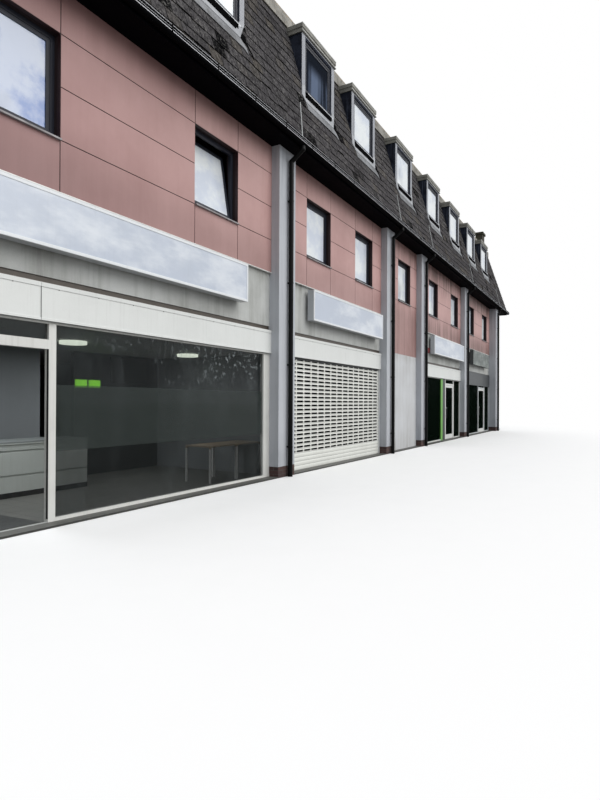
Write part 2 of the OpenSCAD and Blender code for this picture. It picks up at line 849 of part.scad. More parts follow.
module window_glass()
    place() color("lightblue") {
        for (k = [0 : len(window_xs) - 1])
            if (k != tilted)
                casement_pane(window_xs[k], window_w, first_light, win_y0);
        tilt_sash(window_xs[tilted], win_foot, win_y0)
            box([tilt_x[0] + sash_w, tilt_x[1] - sash_w], [tilt_pane_y, tilt_pane_y + pane_t],
                [tilt_z[0] + sash_w, tilt_z[1] - sash_w]);
        front_and_rear() for (x = dormer_xs)
            casement_pane(x, dormer_window_w, dormer_light, dormer_frame_y);
        in_rear() for (x = window_xs) {
            casement_pane(x, window_w, first_light, win_y0);
            casement_pane(x, window_w, rear_light, win_y0);
        }
    }

module sill_profile()
    polygon([
        [front_y - sill_out, sill_z - sill_t], [front_y - seat, sill_z - sill_t],
        [front_y - seat, sill_z], [win_y1, sill_z], [win_y1, sill_z + sill_t],
        [front_y - sill_out, sill_z + sill_t / 2]
    ]);

module window_sills()
    place() color("lightgray")
        front_and_rear() for (x = window_xs)
            along_street(x, x + window_w) sill_profile();

// Mansard roof: a slated slope on three sides, mitred at the right-hand corners

module slope_profile()
    polygon([
        [slate_y(slate_foot_z), slate_foot_z], [slate_y(slate_foot_z) + mansard_t, slate_foot_z],
        [slate_y(slate_top_z) + mansard_t, slate_top_z], [slate_y(slate_top_z), slate_top_z]
    ]);

reach = 2 * eaves_out + slate_back;

// Plan of the front slope, cut at forty-five degrees where it meets the end slope
module front_plan(r) {
    y = front_y;
    linear_extrude(slate_top_z + kerb_h + 1) polygon([
        [0, y - r], [body_l + r, y - r], [body_l - r, y + r], [0, y + r]
    ]);
}

module front_slope()
    difference() {
        intersection() {
            along_street(0, body_l + reach) slope_profile();
            front_plan(reach);
        }
        for (x = dormer_xs)
            box([x - dormer_strip + cheek_t, x + dormer_window_w + dormer_strip - cheek_t],
                [front_y - reach, front_y + reach], [dormer_sill_z, dormer_roof_z]);
    }

module mansard_front()
    place() color("dimgray") front_slope();

module mansard_rear()
    place() color("dimgray") in_rear() front_slope();

// Plan of the end slope, between the two mitres
mitre_gap = 2 * seat;

module end_plan(r)
    linear_extrude(slate_top_z + kerb_h + 1) polygon([
        [body_l - r + mitre_gap, front_y + r], [body_l + r + mitre_gap, front_y - r],
        [body_l + r + mitre_gap, rear_y + r], [body_l - r + mitre_gap, rear_y - r]
    ]);

// A run drawn along the front, turned to run along the right-hand end
module along_end()
    translate([body_l + front_y, -reach, 0]) rotate([0, 0, 90]) children();

module mansard_end()
    place() color("dimgray")
        intersection() {
            along_end() along_street(0, rear_y + 2 * reach) slope_profile();
            end_plan(reach);
        }

// Dormers: cheeks and a sill board seated on the slates, a front panel and a flat roof

function seat_y(z) = slate_y(z) - seat;
function seat_z(y) = slate_z(y + seat);

module dormer_body(x) {
    x0 = x - dormer_strip;
    x1 = x + dormer_window_w + dormer_strip;
    for (c = [x0, x1 - cheek_t])
        along_street(c, c + cheek_t) polygon([
            [dormer_y, seat_z(dormer_y)], [seat_y(dormer_roof_z), dormer_roof_z],
            [dormer_y, dormer_roof_z]
        ]);
    into_depth(dormer_y, dormer_y + dormer_panel_t) difference() {
        rect(x0 + cheek_t + seat, x1 - cheek_t - seat, dormer_sill_z, dormer_roof_z);
        rect(x, x + dormer_window_w, dormer_sill_z, dormer_head_z);
    }
    z1 = dormer_sill_z - dormer_sill_drop;
    z0 = z1 - dormer_sill_t;
    along_street(x, x + dormer_window_w) polygon([
        [slate_y(z1) - dormer_sill_out, z0], [seat_y(z0), z0], [seat_y(z1), z1],
        [slate_y(z1) - dormer_sill_out, z1]
    ]);
}

module dormer_bodies()
    place() color("slategray")
        front_and_rear() for (x = dormer_xs) dormer_body(x);

// A flat roof with a stepped edge board
module dormer_roof(x) {
    for (s = [0, 1])
        let (out = dormer_over * (2 + s) / 3,
             y0 = dormer_y - out,
             z0 = dormer_roof_z + s * dormer_roof_t / 2,
             z1 = z0 + dormer_roof_t / 2)
            along_street(x - dormer_strip - out, x + dormer_window_w + dormer_strip + out)
                polygon([[y0, z0], [seat_y(z0), z0], [seat_y(z1), z1], [y0, z1]]);
}

module dormer_roofs()
    place() color("lightgray")
        front_and_rear() for (x = dormer_xs) dormer_roof(x);

// Eaves, gutters and downpipes

module eaves_run()
    along_street(0, eaves_x) polygon([
        [fascia_y, soffit_z], [wall_y, soffit_z], [wall_y, soffit_z + soffit_t],
        [fascia_y + fascia_t, soffit_z + soffit_t], [fascia_y + fascia_t, slate_foot_z],
        [fascia_y, slate_foot_z]
    ]);

module gutter_profile()
    difference() {
        translate([gutter_y, gutter_z]) circle(r = gutter_r, $fn = round_fn);
        translate([gutter_y, gutter_z]) circle(r = gutter_r - gutter_wall, $fn = round_fn);
        translate([gutter_y - 2 * gutter_r, gutter_z]) square([4 * gutter_r, 2 * gutter_r]);
    }

module gutter_run()
    along_street(0, eaves_x) gutter_profile();

// A run along the front, the right-hand end and the rear, mitred at the corners
module round_the_corner() {
    front_and_rear() intersection() {
        children();
        front_plan(reach);
    }
    intersection() {
        along_end() children();
        end_plan(reach);
    }
}

module eaves_boards()
    place() color("black") round_the_corner() eaves_run();

module gutters()
    place() color("black") round_the_corner() gutter_run();

pipe_inset = 286;
pipe_gap = 20;
neck_drop = 60;
neck_fall = 200;
clip_zs = [600, 2300, 4000, 5700];
clip_h = 30;
clip_t = 4;
clip_w = 74;
socket_t = 5;

// A downpipe with a swan neck from the gutter back to the pier, and sockets at the bends
module downpipe(i) {
    r = pipe_d / 2;
    x = pier_x(i) + pier_w - pipe_inset;
    y = pier_front(i) - pipe_gap - r;
    neck_z = gutter_z - gutter_r - seat - neck_drop;
    foot_z = neck_z - neck_fall;
    lean = atan2(y - gutter_y, neck_fall);
    translate([x, gutter_y, neck_z]) cylinder(r = r, h = neck_drop, $fn = round_fn);
    translate([x, y, foot_z]) rotate([lean, 0, 0])
        cylinder(r = r, h = norm([y - gutter_y, neck_fall]), $fn = round_fn);
    for (p = [[x, gutter_y, neck_z], [x, y, foot_z]])
        translate(p) sphere(r = r + socket_t, $fn = round_fn);
    translate([x, y, 0]) cylinder(r = r, h = foot_z, $fn = round_fn);
    for (z = clip_zs)
        pipe_clip(x, y, z, pier_front(i));
}

module pipe_clip(x, y, z, face) {
    r = pipe_d / 2 + clip_t;
    translate([x, y, z]) cylinder(r = r, h = clip_h, $fn = round_fn);
    box([x - clip_w / 2, x + clip_w / 2], [y, face], [z, z + clip_h]);
}

module downpipes()
    place() color("black")
        for (i = piers) downpipe(i);

// Chimney

chimney_in = 110;
chimney_gap = 20;
chimney_x = body_l - slate_back - kerb_cap - chimney_in - chimney_w;
chimney_y = front_y + slate_back + kerb_cap + chimney_gap;
cap_h = 120;
cap_out = 60;

module chimney()
    place() color("saddlebrown") {
        z0 = slate_top_z + deck_t;
        box([chimney_x, chimney_x + chimney_w], [chimney_y, chimney_y + chimney_d], [z0, z0 + chimney_h]);
        box([chimney_x - cap_out, chimney_x + chimney_w + cap_out],
            [chimney_y - cap_out, chimney_y + chimney_d + cap_out],
            [z0 + chimney_h - cap_h, z0 + chimney_h]);
    }

// Inside the wide shop

counter_x = bay_x(fish) + counter_in;
counter_top_t = 40;
counter_lip = 12;
counter_joint = 24;
counter_panel_hs = [345, 728];

// A counter fronted with rows of panels, under an overhanging top
module shop_counter()
    place() color("lightgray") {
        difference() {
            box([counter_x, counter_x + counter_l], [counter_y, counter_y + counter_d],
                [floor_z, floor_z + counter_h - counter_top_t]);
            for (h = counter_panel_hs)
                box([counter_x - 1, counter_x + counter_l + 1],
                    [counter_y - 1, counter_y + counter_joint],
                    [floor_z + h - counter_joint / 2, floor_z + h + counter_joint / 2]);
        }
        box([counter_x - counter_lip, counter_x + counter_l + counter_lip],
            [counter_y - counter_lip, counter_y + counter_d + counter_lip],
            [floor_z + counter_h - counter_top_t, floor_z + counter_h]);
    }

ceiling_t = 20;
light_r = 220;
light_h = 50;
light_xs = [3960, 6810];
light_y = 2000;

module shop_ceiling()
    place() color("whitesmoke")
        box([party_t, party_x(1)], [inner_y, 2 * mid_y - inner_y],
            [ceiling_z, ceiling_z + ceiling_t]);

table_l = 815;
table_d = 600;
table_h = 690;
table_top_t = 25;
table_leg = 30;
table_gap = 10;
table_y = 570;
table_x1 = party_x(1) - table_gap;

module shop_table() {
    for (x = [0, table_l - table_leg], y = [0, table_d - table_leg])
        translate([x, y, 0]) cube([table_leg, table_leg, table_h - table_top_t]);
    translate([0, 0, table_h - table_top_t]) cube([table_l, table_d, table_top_t]);
}

// Two tables side by side behind the window and two round lights under the ceiling
module shop_fittings()
    place() color("white") {
        for (x = light_xs)
            translate([bay_x(fish) + x, light_y, ceiling_z - light_h])
                cylinder(r = light_r, h = light_h, $fn = round_fn);
        for (k = [1, 2])
            translate([table_x1 - k * table_l - (k - 1) * table_gap, table_y, floor_z]) shop_table();
    }

ground_slab();
first_floor_slab();
attic_floor_slab();
roof_deck();
roof_kerb();
front_piers();
pier_plinths();
shop_party_walls();
left_party_wall();
right_end_wall();
rear_upper_wall();
front_upper_wall();
rendered_walls();
front_cladding();
concrete_bands();
fascia_boxes();
sign_boxes();
dark_shop_signs();
roller_shutter();
shutter_guides();
fish_shopfront();
green_shopfront();
dark_shopfront();
shopfront_glass();
fish_shop_door();
fish_door_glass();
green_shop_door();
green_door_glass();
dark_shop_door();
dark_door_glass();
window_frames();
window_glass();
window_sills();
mansard_front();
mansard_rear();
mansard_end();
dormer_bodies();
dormer_roofs();
eaves_boards();
gutters();
downpipes();
chimney();
shop_counter();
shop_ceiling();
shop_fittings();
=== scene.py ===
"""Looks of a parade of shops with flats above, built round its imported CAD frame.

Every place is given in the street frame in metres: x along the front from the left party
wall, y inwards from the pier faces, z above the pavement. Street turns it into the frame
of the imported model.
"""
import json
import logging
import math
import random
from dataclasses import dataclass, field
from enum import Enum
from functools import cached_property
from typing import Any, Callable, Iterable, Sequence

import bmesh
import bpy
import numpy as np
from mathutils import Matrix, Vector


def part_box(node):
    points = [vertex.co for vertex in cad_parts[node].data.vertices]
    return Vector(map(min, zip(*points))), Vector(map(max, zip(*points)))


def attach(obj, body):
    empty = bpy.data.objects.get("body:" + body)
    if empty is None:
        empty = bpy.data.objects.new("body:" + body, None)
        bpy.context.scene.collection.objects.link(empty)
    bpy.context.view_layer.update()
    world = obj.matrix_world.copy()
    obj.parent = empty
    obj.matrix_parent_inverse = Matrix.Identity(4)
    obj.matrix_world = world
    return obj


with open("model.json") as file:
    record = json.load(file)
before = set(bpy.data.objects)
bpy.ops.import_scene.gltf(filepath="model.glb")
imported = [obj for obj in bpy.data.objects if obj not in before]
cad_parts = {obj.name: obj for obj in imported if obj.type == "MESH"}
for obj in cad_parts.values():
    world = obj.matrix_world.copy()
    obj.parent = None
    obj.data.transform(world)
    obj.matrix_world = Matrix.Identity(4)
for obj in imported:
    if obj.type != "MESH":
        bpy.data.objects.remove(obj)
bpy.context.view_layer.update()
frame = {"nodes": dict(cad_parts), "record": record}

logging.basicConfig(level=logging.INFO, format="%(name)s: %(message)s")
LOG = logging.getLogger("parade")

Point = tuple[float, float, float]
Span = tuple[float, float]
Colour = tuple[float, float, float, float]


class Side(Enum):
    """The sides of the roof that repeat the same pieces."""

    FRONT = "front"
    REAR = "rear"
    END = "end"


def srgb(red: float, green: float, blue: float) -> Colour:
    """Turns an 8-bit screen colour into a linear colour with full opacity.

    Args:
        red, green, blue: channels from 0 to 255.

    Returns:
        The linear colour.
    """
    def channel(value: float) -> float:
        """Turns one channel."""
        part = value / 255
        return part / 12.92 if part <= 0.04045 else ((part + 0.055) / 1.055) ** 2.4
    return (channel(red), channel(green), channel(blue), 1.0)


# Places


@dataclass(frozen=True)
class Street:
    """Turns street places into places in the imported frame."""

    mid_x: float
    mid_y: float

    def point(self, x: float, y: float, z: float) -> Vector:
        """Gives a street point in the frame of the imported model."""
        return Vector((x - self.mid_x, y - self.mid_y, z))

    def back(self, corner: Vector) -> Point:
        """Gives a packed point in the street frame."""
        return (corner.x + self.mid_x, corner.y + self.mid_y, corner.z)


CLADDING_FRONT = 0.19
STREET = Street(-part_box("ground_slab")[0].x, CLADDING_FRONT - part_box("front_cladding")[0].y)

# The rooms right of UNLIT_X are painted dark as shade, within ROOM_Y and below ROOM_TOP.
UNLIT_X = 8.12
ROOM_Y = (0.452, 8.928)
ROOM_TOP = 3.76

# Corners of a mesh that agree to this many decimals of a metre are one.
WELD_DECIMALS = 4

# Solids are sorted by their places to this many decimals.
SORT_DECIMALS = 3


@dataclass(frozen=True)
class Cuboid:
    """A solid's box in the street frame."""

    low: Point
    high: Point

    @property
    def middle(self) -> Point:
        """The middle of the box."""
        return tuple((a + b) / 2 for a, b in zip(self.low, self.high))

    def size(self, axis: int) -> float:
        """The length of the box along one axis."""
        return self.high[axis] - self.low[axis]


def mirrored(point: Point) -> Point:
    """Turns a front point into the rear one."""
    return (point[0], 2 * STREET.mid_y - point[1], point[2])


def past(start: float, span: Span) -> Span:
    """Gives the two places that a pair measures from a start."""
    return (start + span[0], start + span[1])


def solid_boxes(node: str) -> list[Cuboid]:
    """Splits a CAD node into its solids.

    Args:
        node: name of the CAD node.

    Returns:
        The box of each solid, from left to right and from low to high.
    """
    mesh = frame["nodes"][node].data
    places = np.empty(len(mesh.vertices) * 3, np.float32)
    mesh.vertices.foreach_get("co", places)
    places = places.reshape(-1, 3)
    _, welded = np.unique(np.round(places, WELD_DECIMALS), axis=0, return_inverse=True)
    welded = welded.ravel()
    parent = list(range(int(welded.max()) + 1))

    def root(item: int) -> int:
        """Finds the corner that stands for a whole solid.

        Args:
            item: any corner of the solid.

        Returns:
            The corner that stands for it.
        """
        while parent[item] != item:
            parent[item] = parent[parent[item]]
            item = parent[item]
        return item

    for polygon in mesh.polygons:
        first = root(int(welded[polygon.vertices[0]]))
        for vertex in polygon.vertices[1:]:
            parent[root(int(welded[vertex]))] = first
    groups = np.array([root(int(item)) for item in welded])
    boxes = []
    for group in np.unique(groups):
        part = places[groups == group]
        low, high = Vector(part.min(0)), Vector(part.max(0))
        boxes.append(Cuboid(STREET.back(low), STREET.back(high)))
    return sorted(boxes, key=lambda box: (round(box.low[0], SORT_DECIMALS),
                                          round(box.low[2], SORT_DECIMALS)))


def show(name: str, data: Any) -> bpy.types.Object:
    """Makes an object and links it into the scene.

    Args:
        name: its name.
        data: its mesh, lamp or camera.

    Returns:
        The object.
    """
    made = bpy.data.objects.new(name, data)
    bpy.context.scene.collection.objects.link(made)
    return made


# Shader maths


def operator(kind: str) -> Callable[..., "Value"]:
    """Makes a method of Value out of one kind of Math node.

    Args:
        kind: the operation of the node.

    Returns:
        A method that joins the value with others through such a node.
    """
    def join(self: "Value", *others: Any) -> "Value":
        """Joins this value with others."""
        return self.graph.node("ShaderNodeMath", {"operation": kind},
                               dict(enumerate((self, *others))))
    return join


class Value:
    """A shader socket that takes part in sums, products and comparisons."""

    __add__ = __radd__ = operator("ADD")
    __mul__ = __rmul__ = operator("MULTIPLY")
    __sub__ = operator("SUBTRACT")
    __truediv__ = operator("DIVIDE")
    __gt__ = operator("GREATER_THAN")
    __lt__ = operator("LESS_THAN")
    __abs__ = operator("ABSOLUTE")
    power = operator("POWER")
    modulo = operator("FLOORED_MODULO")

    def __init__(self, graph: "Graph", socket: Any) -> None:
        """Wraps one output socket of a graph."""
        self.graph = graph
        self.socket = socket

    def __rsub__(self, other: Any) -> "Value":
        """Takes this value off another one."""
        return (self * -1.0) + other

    def step(self, start: float, end: float) -> "Value":
        """Rises smoothly with this value.

        Args:
            start: where it is still 0.
            end: where it is 1, above or below start.

        Returns:
            The share between 0 and 1.
        """
        low, high = sorted((start, end))
        risen = self.graph.node("ShaderNodeMapRange", {"interpolation_type": "SMOOTHSTEP"},
                                {"Value": self, "From Min": low, "From Max": high})
        return risen if end > start else 1.0 - risen

    def band(self, low: float, high: float) -> "Value":
        """Gives 1 between two numbers and 0 elsewhere."""
        return (self > low) * (self < high)


class Graph:
    """The node tree of a material or of the world."""

    def __init__(self, owner: Any, output: str = "ShaderNodeOutputMaterial") -> None:
        """Empties the owner's tree and gives it an output.

        Args:
            owner: a material or the world.
            output: type of its output node.
        """
        owner.use_nodes = True
        self.tree = owner.node_tree
        self.tree.nodes.clear()
        self.output = self.tree.nodes.new(output)

    @cached_property
    def coordinates(self) -> Any:
        """The node of texture coordinates, made when it is first asked for."""
        return self.tree.nodes.new("ShaderNodeTexCoord")

    def node(self, kind: str, settings: dict[str, Any] | None = None,
             inputs: dict[Any, Any] | None = None, output: int | str = 0) -> Value:
        """Adds one node.

        Args:
            kind: type of the node.
            settings: properties that are set before the inputs.
            inputs: numbers, colours or values for its sockets, by name or index.
            output: the output socket that is given back.

        Returns:
            The chosen output.
        """
        made = self.tree.nodes.new(kind)
        for key, setting in (settings or {}).items():
            setattr(made, key, setting)
        for key, item in (inputs or {}).items():
            self.feed(made.inputs[key], item)
        return Value(self, made.outputs[output])

    def feed(self, socket: Any, item: Any) -> None:
        """Fills an input.

        Args:
            socket: the input.
            item: a value that is linked into it, or a number or colour that it is set to.
        """
        if isinstance(item, Value):
            self.tree.links.new(item.socket, socket)
        else:
            socket.default_value = item

    def place(self) -> Value:
        """The object coordinates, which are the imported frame's at rest."""
        return Value(self, self.coordinates.outputs["Object"])

    def axes(self, vector: Value | None = None) -> list[Value]:
        """Splits a vector.

        Args:
            vector: the vector, by default the place in the street frame.

        Returns:
            Its x, y and z.
        """
        if vector is None:
            offset = (STREET.mid_x, STREET.mid_y, 0.0)
            vector = self.node("ShaderNodeVectorMath", {"operation": "ADD"},
                               {0: self.place(), 1: offset})
        parts = self.node("ShaderNodeSeparateXYZ", None, {0: vector})
        return [Value(self, output) for output in parts.socket.node.outputs]

    def normal(self) -> list[Value]:
        """The surface direction in object space."""
        return self.axes(Value(self, self.coordinates.outputs["Normal"]))

    def vector(self, x: Any, y: Any, z: Any) -> Value:
        """Joins three values into a vector."""
        return self.node("ShaderNodeCombineXYZ", None, {0: x, 1: y, 2: z})

    def noise(self, scale: float | Point, detail: float = 3.0, rough: float = 0.5) -> Value:
        """Makes smooth noise.

        Args:
            scale: how often it repeats a metre, one number or one for each axis.
            detail: octaves.
            rough: strength of the fine octaves.

        Returns:
            Noise between 0 and 1.
        """
        source = self.place()
        if isinstance(scale, tuple):
            source = self.node("ShaderNodeVectorMath", {"operation": "MULTIPLY"},
                               {0: source, 1: scale})
            scale = 1.0
        return self.node("ShaderNodeTexNoise", None, {"Vector": source, "Scale": scale,
                                                      "Detail": detail, "Roughness": rough})

    def mix(self, factor: Any, first: Any, second: Any) -> Value:
        """Mixes two colours."""
        return self.node("ShaderNodeMix", {"data_type": "RGBA"},
                         {"Factor": factor, 6: first, 7: second}, 2)

    def shade(self, colour: Any, amount: Any) -> Value:
        """Multiplies a colour.

        Args:
            colour: the colour.
            amount: the brightness that it is multiplied by.

        Returns:
            The darker or lighter colour.
        """
        source = colour if isinstance(colour, Value) else colour[:3]
        return self.node("ShaderNodeVectorMath", {"operation": "SCALE"},
                         {0: source, "Scale": amount})

    def bump(self, height: Value, distance: float) -> Value:
        """Turns a height in units of distance into a normal."""
        return self.node("ShaderNodeBump", None, {"Height": height, "Distance": distance,
                                                  "Strength": 1.0})

    def unlit(self) -> Value:
        """Gives 1 inside the shops that are painted dark as shade, and 0 elsewhere."""
        x, y, z = self.axes()
        return (x > UNLIT_X) * y.band(*ROOM_Y) * (z < ROOM_TOP)

    def principled(self, **inputs: Any) -> Value:
        """Adds the surface shader.

        Args:
            inputs: its inputs, with underlines for the spaces in their names.

        Returns:
            The shader.
        """
        named = {key.replace("_", " ").title().replace("Ior", "IOR"): item
                 for key, item in inputs.items()}
        return self.node("ShaderNodeBsdfPrincipled", None, named)

    def blend(self, factor: Any, first: Value, second: Value) -> Value:
        """Mixes two shaders."""
        return self.node("ShaderNodeMixShader", None, {0: factor, 1: first, 2: second})

    def clear(self) -> Value:
        """A shader that lets everything through."""
        return self.node("ShaderNodeBsdfTransparent")

    def glazing(self, dull: Value, gloss: float, rough: tuple[Value, Value],
                **inputs: Value) -> Value:
        """Makes a pane's face, which mirrors nothing where it is dull.

        Args:
            dull: 1 where it mirrors nothing.
            gloss: specular level of the rest.
            rough: roughness of the mirroring and of the dull face.
            inputs: colour and normal of both.

        Returns:
            The shader.
        """
        faces = [self.principled(roughness=share, specular_ior_level=level, **inputs)
                 for share, level in zip(rough, (gloss, 0.0))]
        return self.blend(dull, *faces)

    def finish(self, shader: Value) -> None:
        """Sends a shader to the output."""
        self.feed(self.output.inputs["Surface"], shader)


# Finishes

MADE: dict[str, bpy.types.Material] = {}


@dataclass(frozen=True)
class Finish:
    """A named finish that makes its material once."""

    name: str

    def material(self) -> bpy.types.Material:
        """Gives the material, which the first call makes.

        Returns:
            The material.
        """
        if self.name not in MADE:
            MADE[self.name] = bpy.data.materials.new(self.name)
            graph = Graph(MADE[self.name])
            graph.finish(self.shader(graph))
        return MADE[self.name]

    def shader(self, graph: Graph) -> Value:
        """Builds the surface.

        Args:
            graph: the material's graph.

        Returns:
            The shader.
        """
        raise NotImplementedError


@dataclass(frozen=True)
class Mineral(Finish):
    """Render, concrete, plaster and painted masonry, with rain streaks, fine grain and, where
    top is given, painted shade towards the top.
    """

    base: Colour
    dark: Colour
    patches: float = 0.35
    streaks: float = 0.35
    grain: float = 0.08
    grain_scale: float = 160.0
    roughness: float = 0.85
    relief: float = 0.0008
    foot: Span | None = None
    # Painted shade: heights over which the surface darkens, with streaks, towards its top.
    top: Span | None = None
    unlit_loss: float = 0.97

    def tone(self, graph: Graph) -> Value:
        """Gives the share of the dark colour, from stains, streaks, a darker foot and painted shade
        towards the top.

        Args:
            graph: the material's graph.

        Returns:
            The share.
        """
        wide = graph.noise(0.7, 5.0, 0.6).step(0.35, 0.75)
        runs = graph.noise((7.0, 7.0, 0.45), 4.0, 0.65).step(0.42, 0.78)
        tone = wide * self.patches + runs * self.streaks
        _, _, z = graph.axes()
        if self.foot:
            tone = tone + z.step(self.foot[1], self.foot[0]) * (0.25 + runs * 0.3)
        # Painted shade, streaked, that darkens the surface towards its top.
        if self.top:
            tone = tone + z.step(self.top[0], self.top[1]) * (0.25 + runs * 0.3)
        return tone

    def colour(self, graph: Graph) -> Value:
        """Builds the streaked colour.

        Args:
            graph: the material's graph.

        Returns:
            The colour.
        """
        tinted = graph.mix(self.tone(graph), self.base, self.dark)
        speck = graph.noise(self.grain_scale, 2.0, 0.7)
        light = 1.0 - self.grain / 2 + (speck - 0.5) * self.grain * 2.0
        return graph.shade(tinted, light * (1.0 - graph.unlit() * self.unlit_loss))

    def shader(self, graph: Graph) -> Value:
        """Builds the surface.

        Args:
            graph: the material's graph.

        Returns:
            The shader.
        """
        speck = graph.noise(self.grain_scale * 0.6, 3.0, 0.7)
        swell = graph.noise(2.2, 3.0, 0.5)
        normal = graph.bump(speck * 0.6 + swell * 1.6, self.relief)
        rough = self.roughness + (speck - 0.5) * 0.15
        return graph.principled(base_color=self.colour(graph), roughness=rough, normal=normal)


@dataclass(frozen=True)
class Cladding(Mineral):
    """Panel cladding: dark joints and reveals, deeper at the near end, dirty at the far one.

    Its brightness is painted light: it rises along the wall from the near end, with painted
    shade under the eaves and towards the foot. Each pair of places ends where its effect is full.
    """

    reveal: Colour = srgb(44, 20, 22)
    deep: Colour = srgb(150, 98, 98)
    rust: Colour = srgb(88, 60, 50)
    face_depth: float = 0.003
    front_y: float = CLADDING_FRONT
    # Painted light: the panels' brightness goes from the first number to the second along x.
    painted_sheen: Span = (0.62, 1.12)
    sheen_x: Span = (-3.0, 8.0)
    deep_x: Span = (8.0, -1.0)
    rust_x: Span = (13.0, 20.0)
    eaves_shade_z: Span = (6.36, 6.8)
    foot_shade_z: Span = (5.3, 4.3)
    rust_top_z: Span = (5.7, 6.6)
    rust_foot_z: Span = (5.2, 4.3)

    def colour(self, graph: Graph) -> Value:
        """Builds the streaked colour, dark below the panels' face, with painted light along the
        wall and painted shade under the eaves and towards the foot.

        Args:
            graph: the material's graph.

        Returns:
            The colour.
        """
        x, y, z = graph.axes()
        depth = self.face_depth + abs(y - STREET.mid_y) - (STREET.mid_y - self.front_y)
        cloud = graph.noise((0.35, 0.35, 0.5), 2.0, 0.5)
        # Painted light along x, then painted shade under the eaves and at the foot.
        light = x.step(*self.sheen_x) * (self.painted_sheen[1] - self.painted_sheen[0]) + self.painted_sheen[0]
        light = light + (cloud - 0.5) * 0.2
        light = light * (1.0 - z.step(*self.eaves_shade_z) * 0.34)
        light = light * (1.0 - z.step(*self.foot_shade_z) * 0.22)
        tinted = graph.mix(x.step(*self.deep_x) * 0.55, super().colour(graph), self.deep)
        runs = graph.noise((5.0, 5.0, 0.3), 5.0, 0.75).step(0.34, 0.56)
        high = z.step(*self.rust_top_z) * 0.9 + z.step(*self.rust_foot_z) * 0.6
        share = runs * high * (0.1 + x.step(*self.rust_x) * 0.9)
        tinted = graph.mix(share, tinted, self.rust)
        return graph.mix(depth < 0.0, graph.shade(tinted, light), self.reveal)

    def shader(self, graph: Graph) -> Value:
        """Builds smooth panels with a soft sheen.

        Args:
            graph: the material's graph.

        Returns:
            The shader.
        """
        speck = graph.noise(self.grain_scale, 3.0, 0.7)
        swell = graph.noise(1.1, 2.0, 0.5)
        normal = graph.bump(speck * 0.15 + swell * 3.0, self.relief)
        return graph.principled(base_color=self.colour(graph), normal=normal,
                                roughness=0.5 + (speck - 0.5) * 0.2)


@dataclass(frozen=True)
class Brick(Finish):
    """Brickwork in stretcher bond, laid from the pavement up."""

    first: Colour
    second: Colour
    mortar: Colour
    moss: float = 0.0
    moss_green: Colour = srgb(58, 62, 34)
    brick_w: float = 0.225
    row_h: float = 0.075
    joint_w: float = 0.0045
    side_on: float = 0.7

    def shader(self, graph: Graph) -> Value:
        """Builds the surface, with rows that run along each wall.

        Args:
            graph: the material's graph.

        Returns:
            The shader.
        """
        x, y, z = graph.axes()
        nx, _, _ = graph.normal()
        sideways = abs(nx) > self.side_on
        along = x * (1.0 - sideways) + y * sideways
        settings = {"offset": 0.5, "squash": 1.0}
        brick = graph.node("ShaderNodeTexBrick", settings, {
            "Vector": graph.vector(along, z, 0.0), "Color1": self.first,
            "Color2": self.second, "Mortar": self.mortar, "Scale": 1.0,
            "Mortar Size": self.joint_w, "Mortar Smooth": 0.2, "Bias": 0.0,
            "Brick Width": self.brick_w, "Row Height": self.row_h})
        joint = Value(graph, brick.socket.node.outputs["Fac"])
        weather = graph.noise(14.0, 5.0, 0.65)
        tinted = graph.shade(brick, 0.65 + weather * 0.7)
        if self.moss:
            green = graph.noise(2.5, 5.0, 0.7).step(0.4, 0.62) * self.moss
            tinted = graph.mix(green, tinted, self.moss_green)
        speck = graph.noise(220.0, 2.0, 0.7)
        normal = graph.bump(1.0 - joint + speck * 0.25 + weather * 0.2, 0.004)
        return graph.principled(base_color=tinted, roughness=0.75 + speck * 0.2,
                                normal=normal)


@dataclass(frozen=True)
class Slate(Finish):
    """Slates, each with a tone of its own, with lichen in pale flecks, and painted shade on their
    edges, which have tone 0.
    """

    base: Colour = srgb(80, 78, 80)
    warm: Colour = srgb(84, 80, 76)
    dark: Colour = srgb(24, 24, 26)
    lichen: Colour = srgb(150, 148, 144)

    def shader(self, graph: Graph) -> Value:
        """Builds the surface.

        Args:
            graph: the material's graph.

        Returns:
            The shader.
        """
        tone = graph.node("ShaderNodeAttribute", {"attribute_name": "tone"}, None, "Fac")
        wide = graph.noise(0.5, 4.0, 0.6)
        stain = graph.noise(9.0, 4.0, 0.7)
        fleck = graph.noise((70.0, 70.0, 26.0), 4.0, 0.75)
        tinted = graph.mix(tone.step(0.86, 1.0), self.base, self.warm)
        # The dark colour paints the few dark slates and the painted shade on slate edges, at tone
        # 0.
        tinted = graph.mix(tone.step(0.12, 0.0), tinted, self.dark)
        light = 0.18 + tone * 0.24 + stain * 0.8 + wide * 0.36
        tinted = graph.shade(tinted, light * (0.1 + fleck * 1.7))
        spots = graph.noise((26.0, 26.0, 16.0), 5.0, 0.8).step(0.5, 0.64)
        patch = graph.noise(1.3, 3.0, 0.6).step(0.35, 0.7)
        tinted = graph.mix(spots * (0.2 + patch * 0.45), tinted, self.lichen)
        blots = graph.noise((15.0, 15.0, 10.0), 4.0, 0.7).step(0.45, 0.6)
        tinted = graph.shade(tinted, 1.06 - blots * 0.5)
        grain = graph.noise((90.0, 90.0, 30.0), 4.0, 0.7)
        normal = graph.bump(grain + spots * 0.5, 0.0015)
        return graph.principled(base_color=tinted, roughness=0.55 + stain * 0.4,
                                specular_ior_level=0.0, normal=normal)


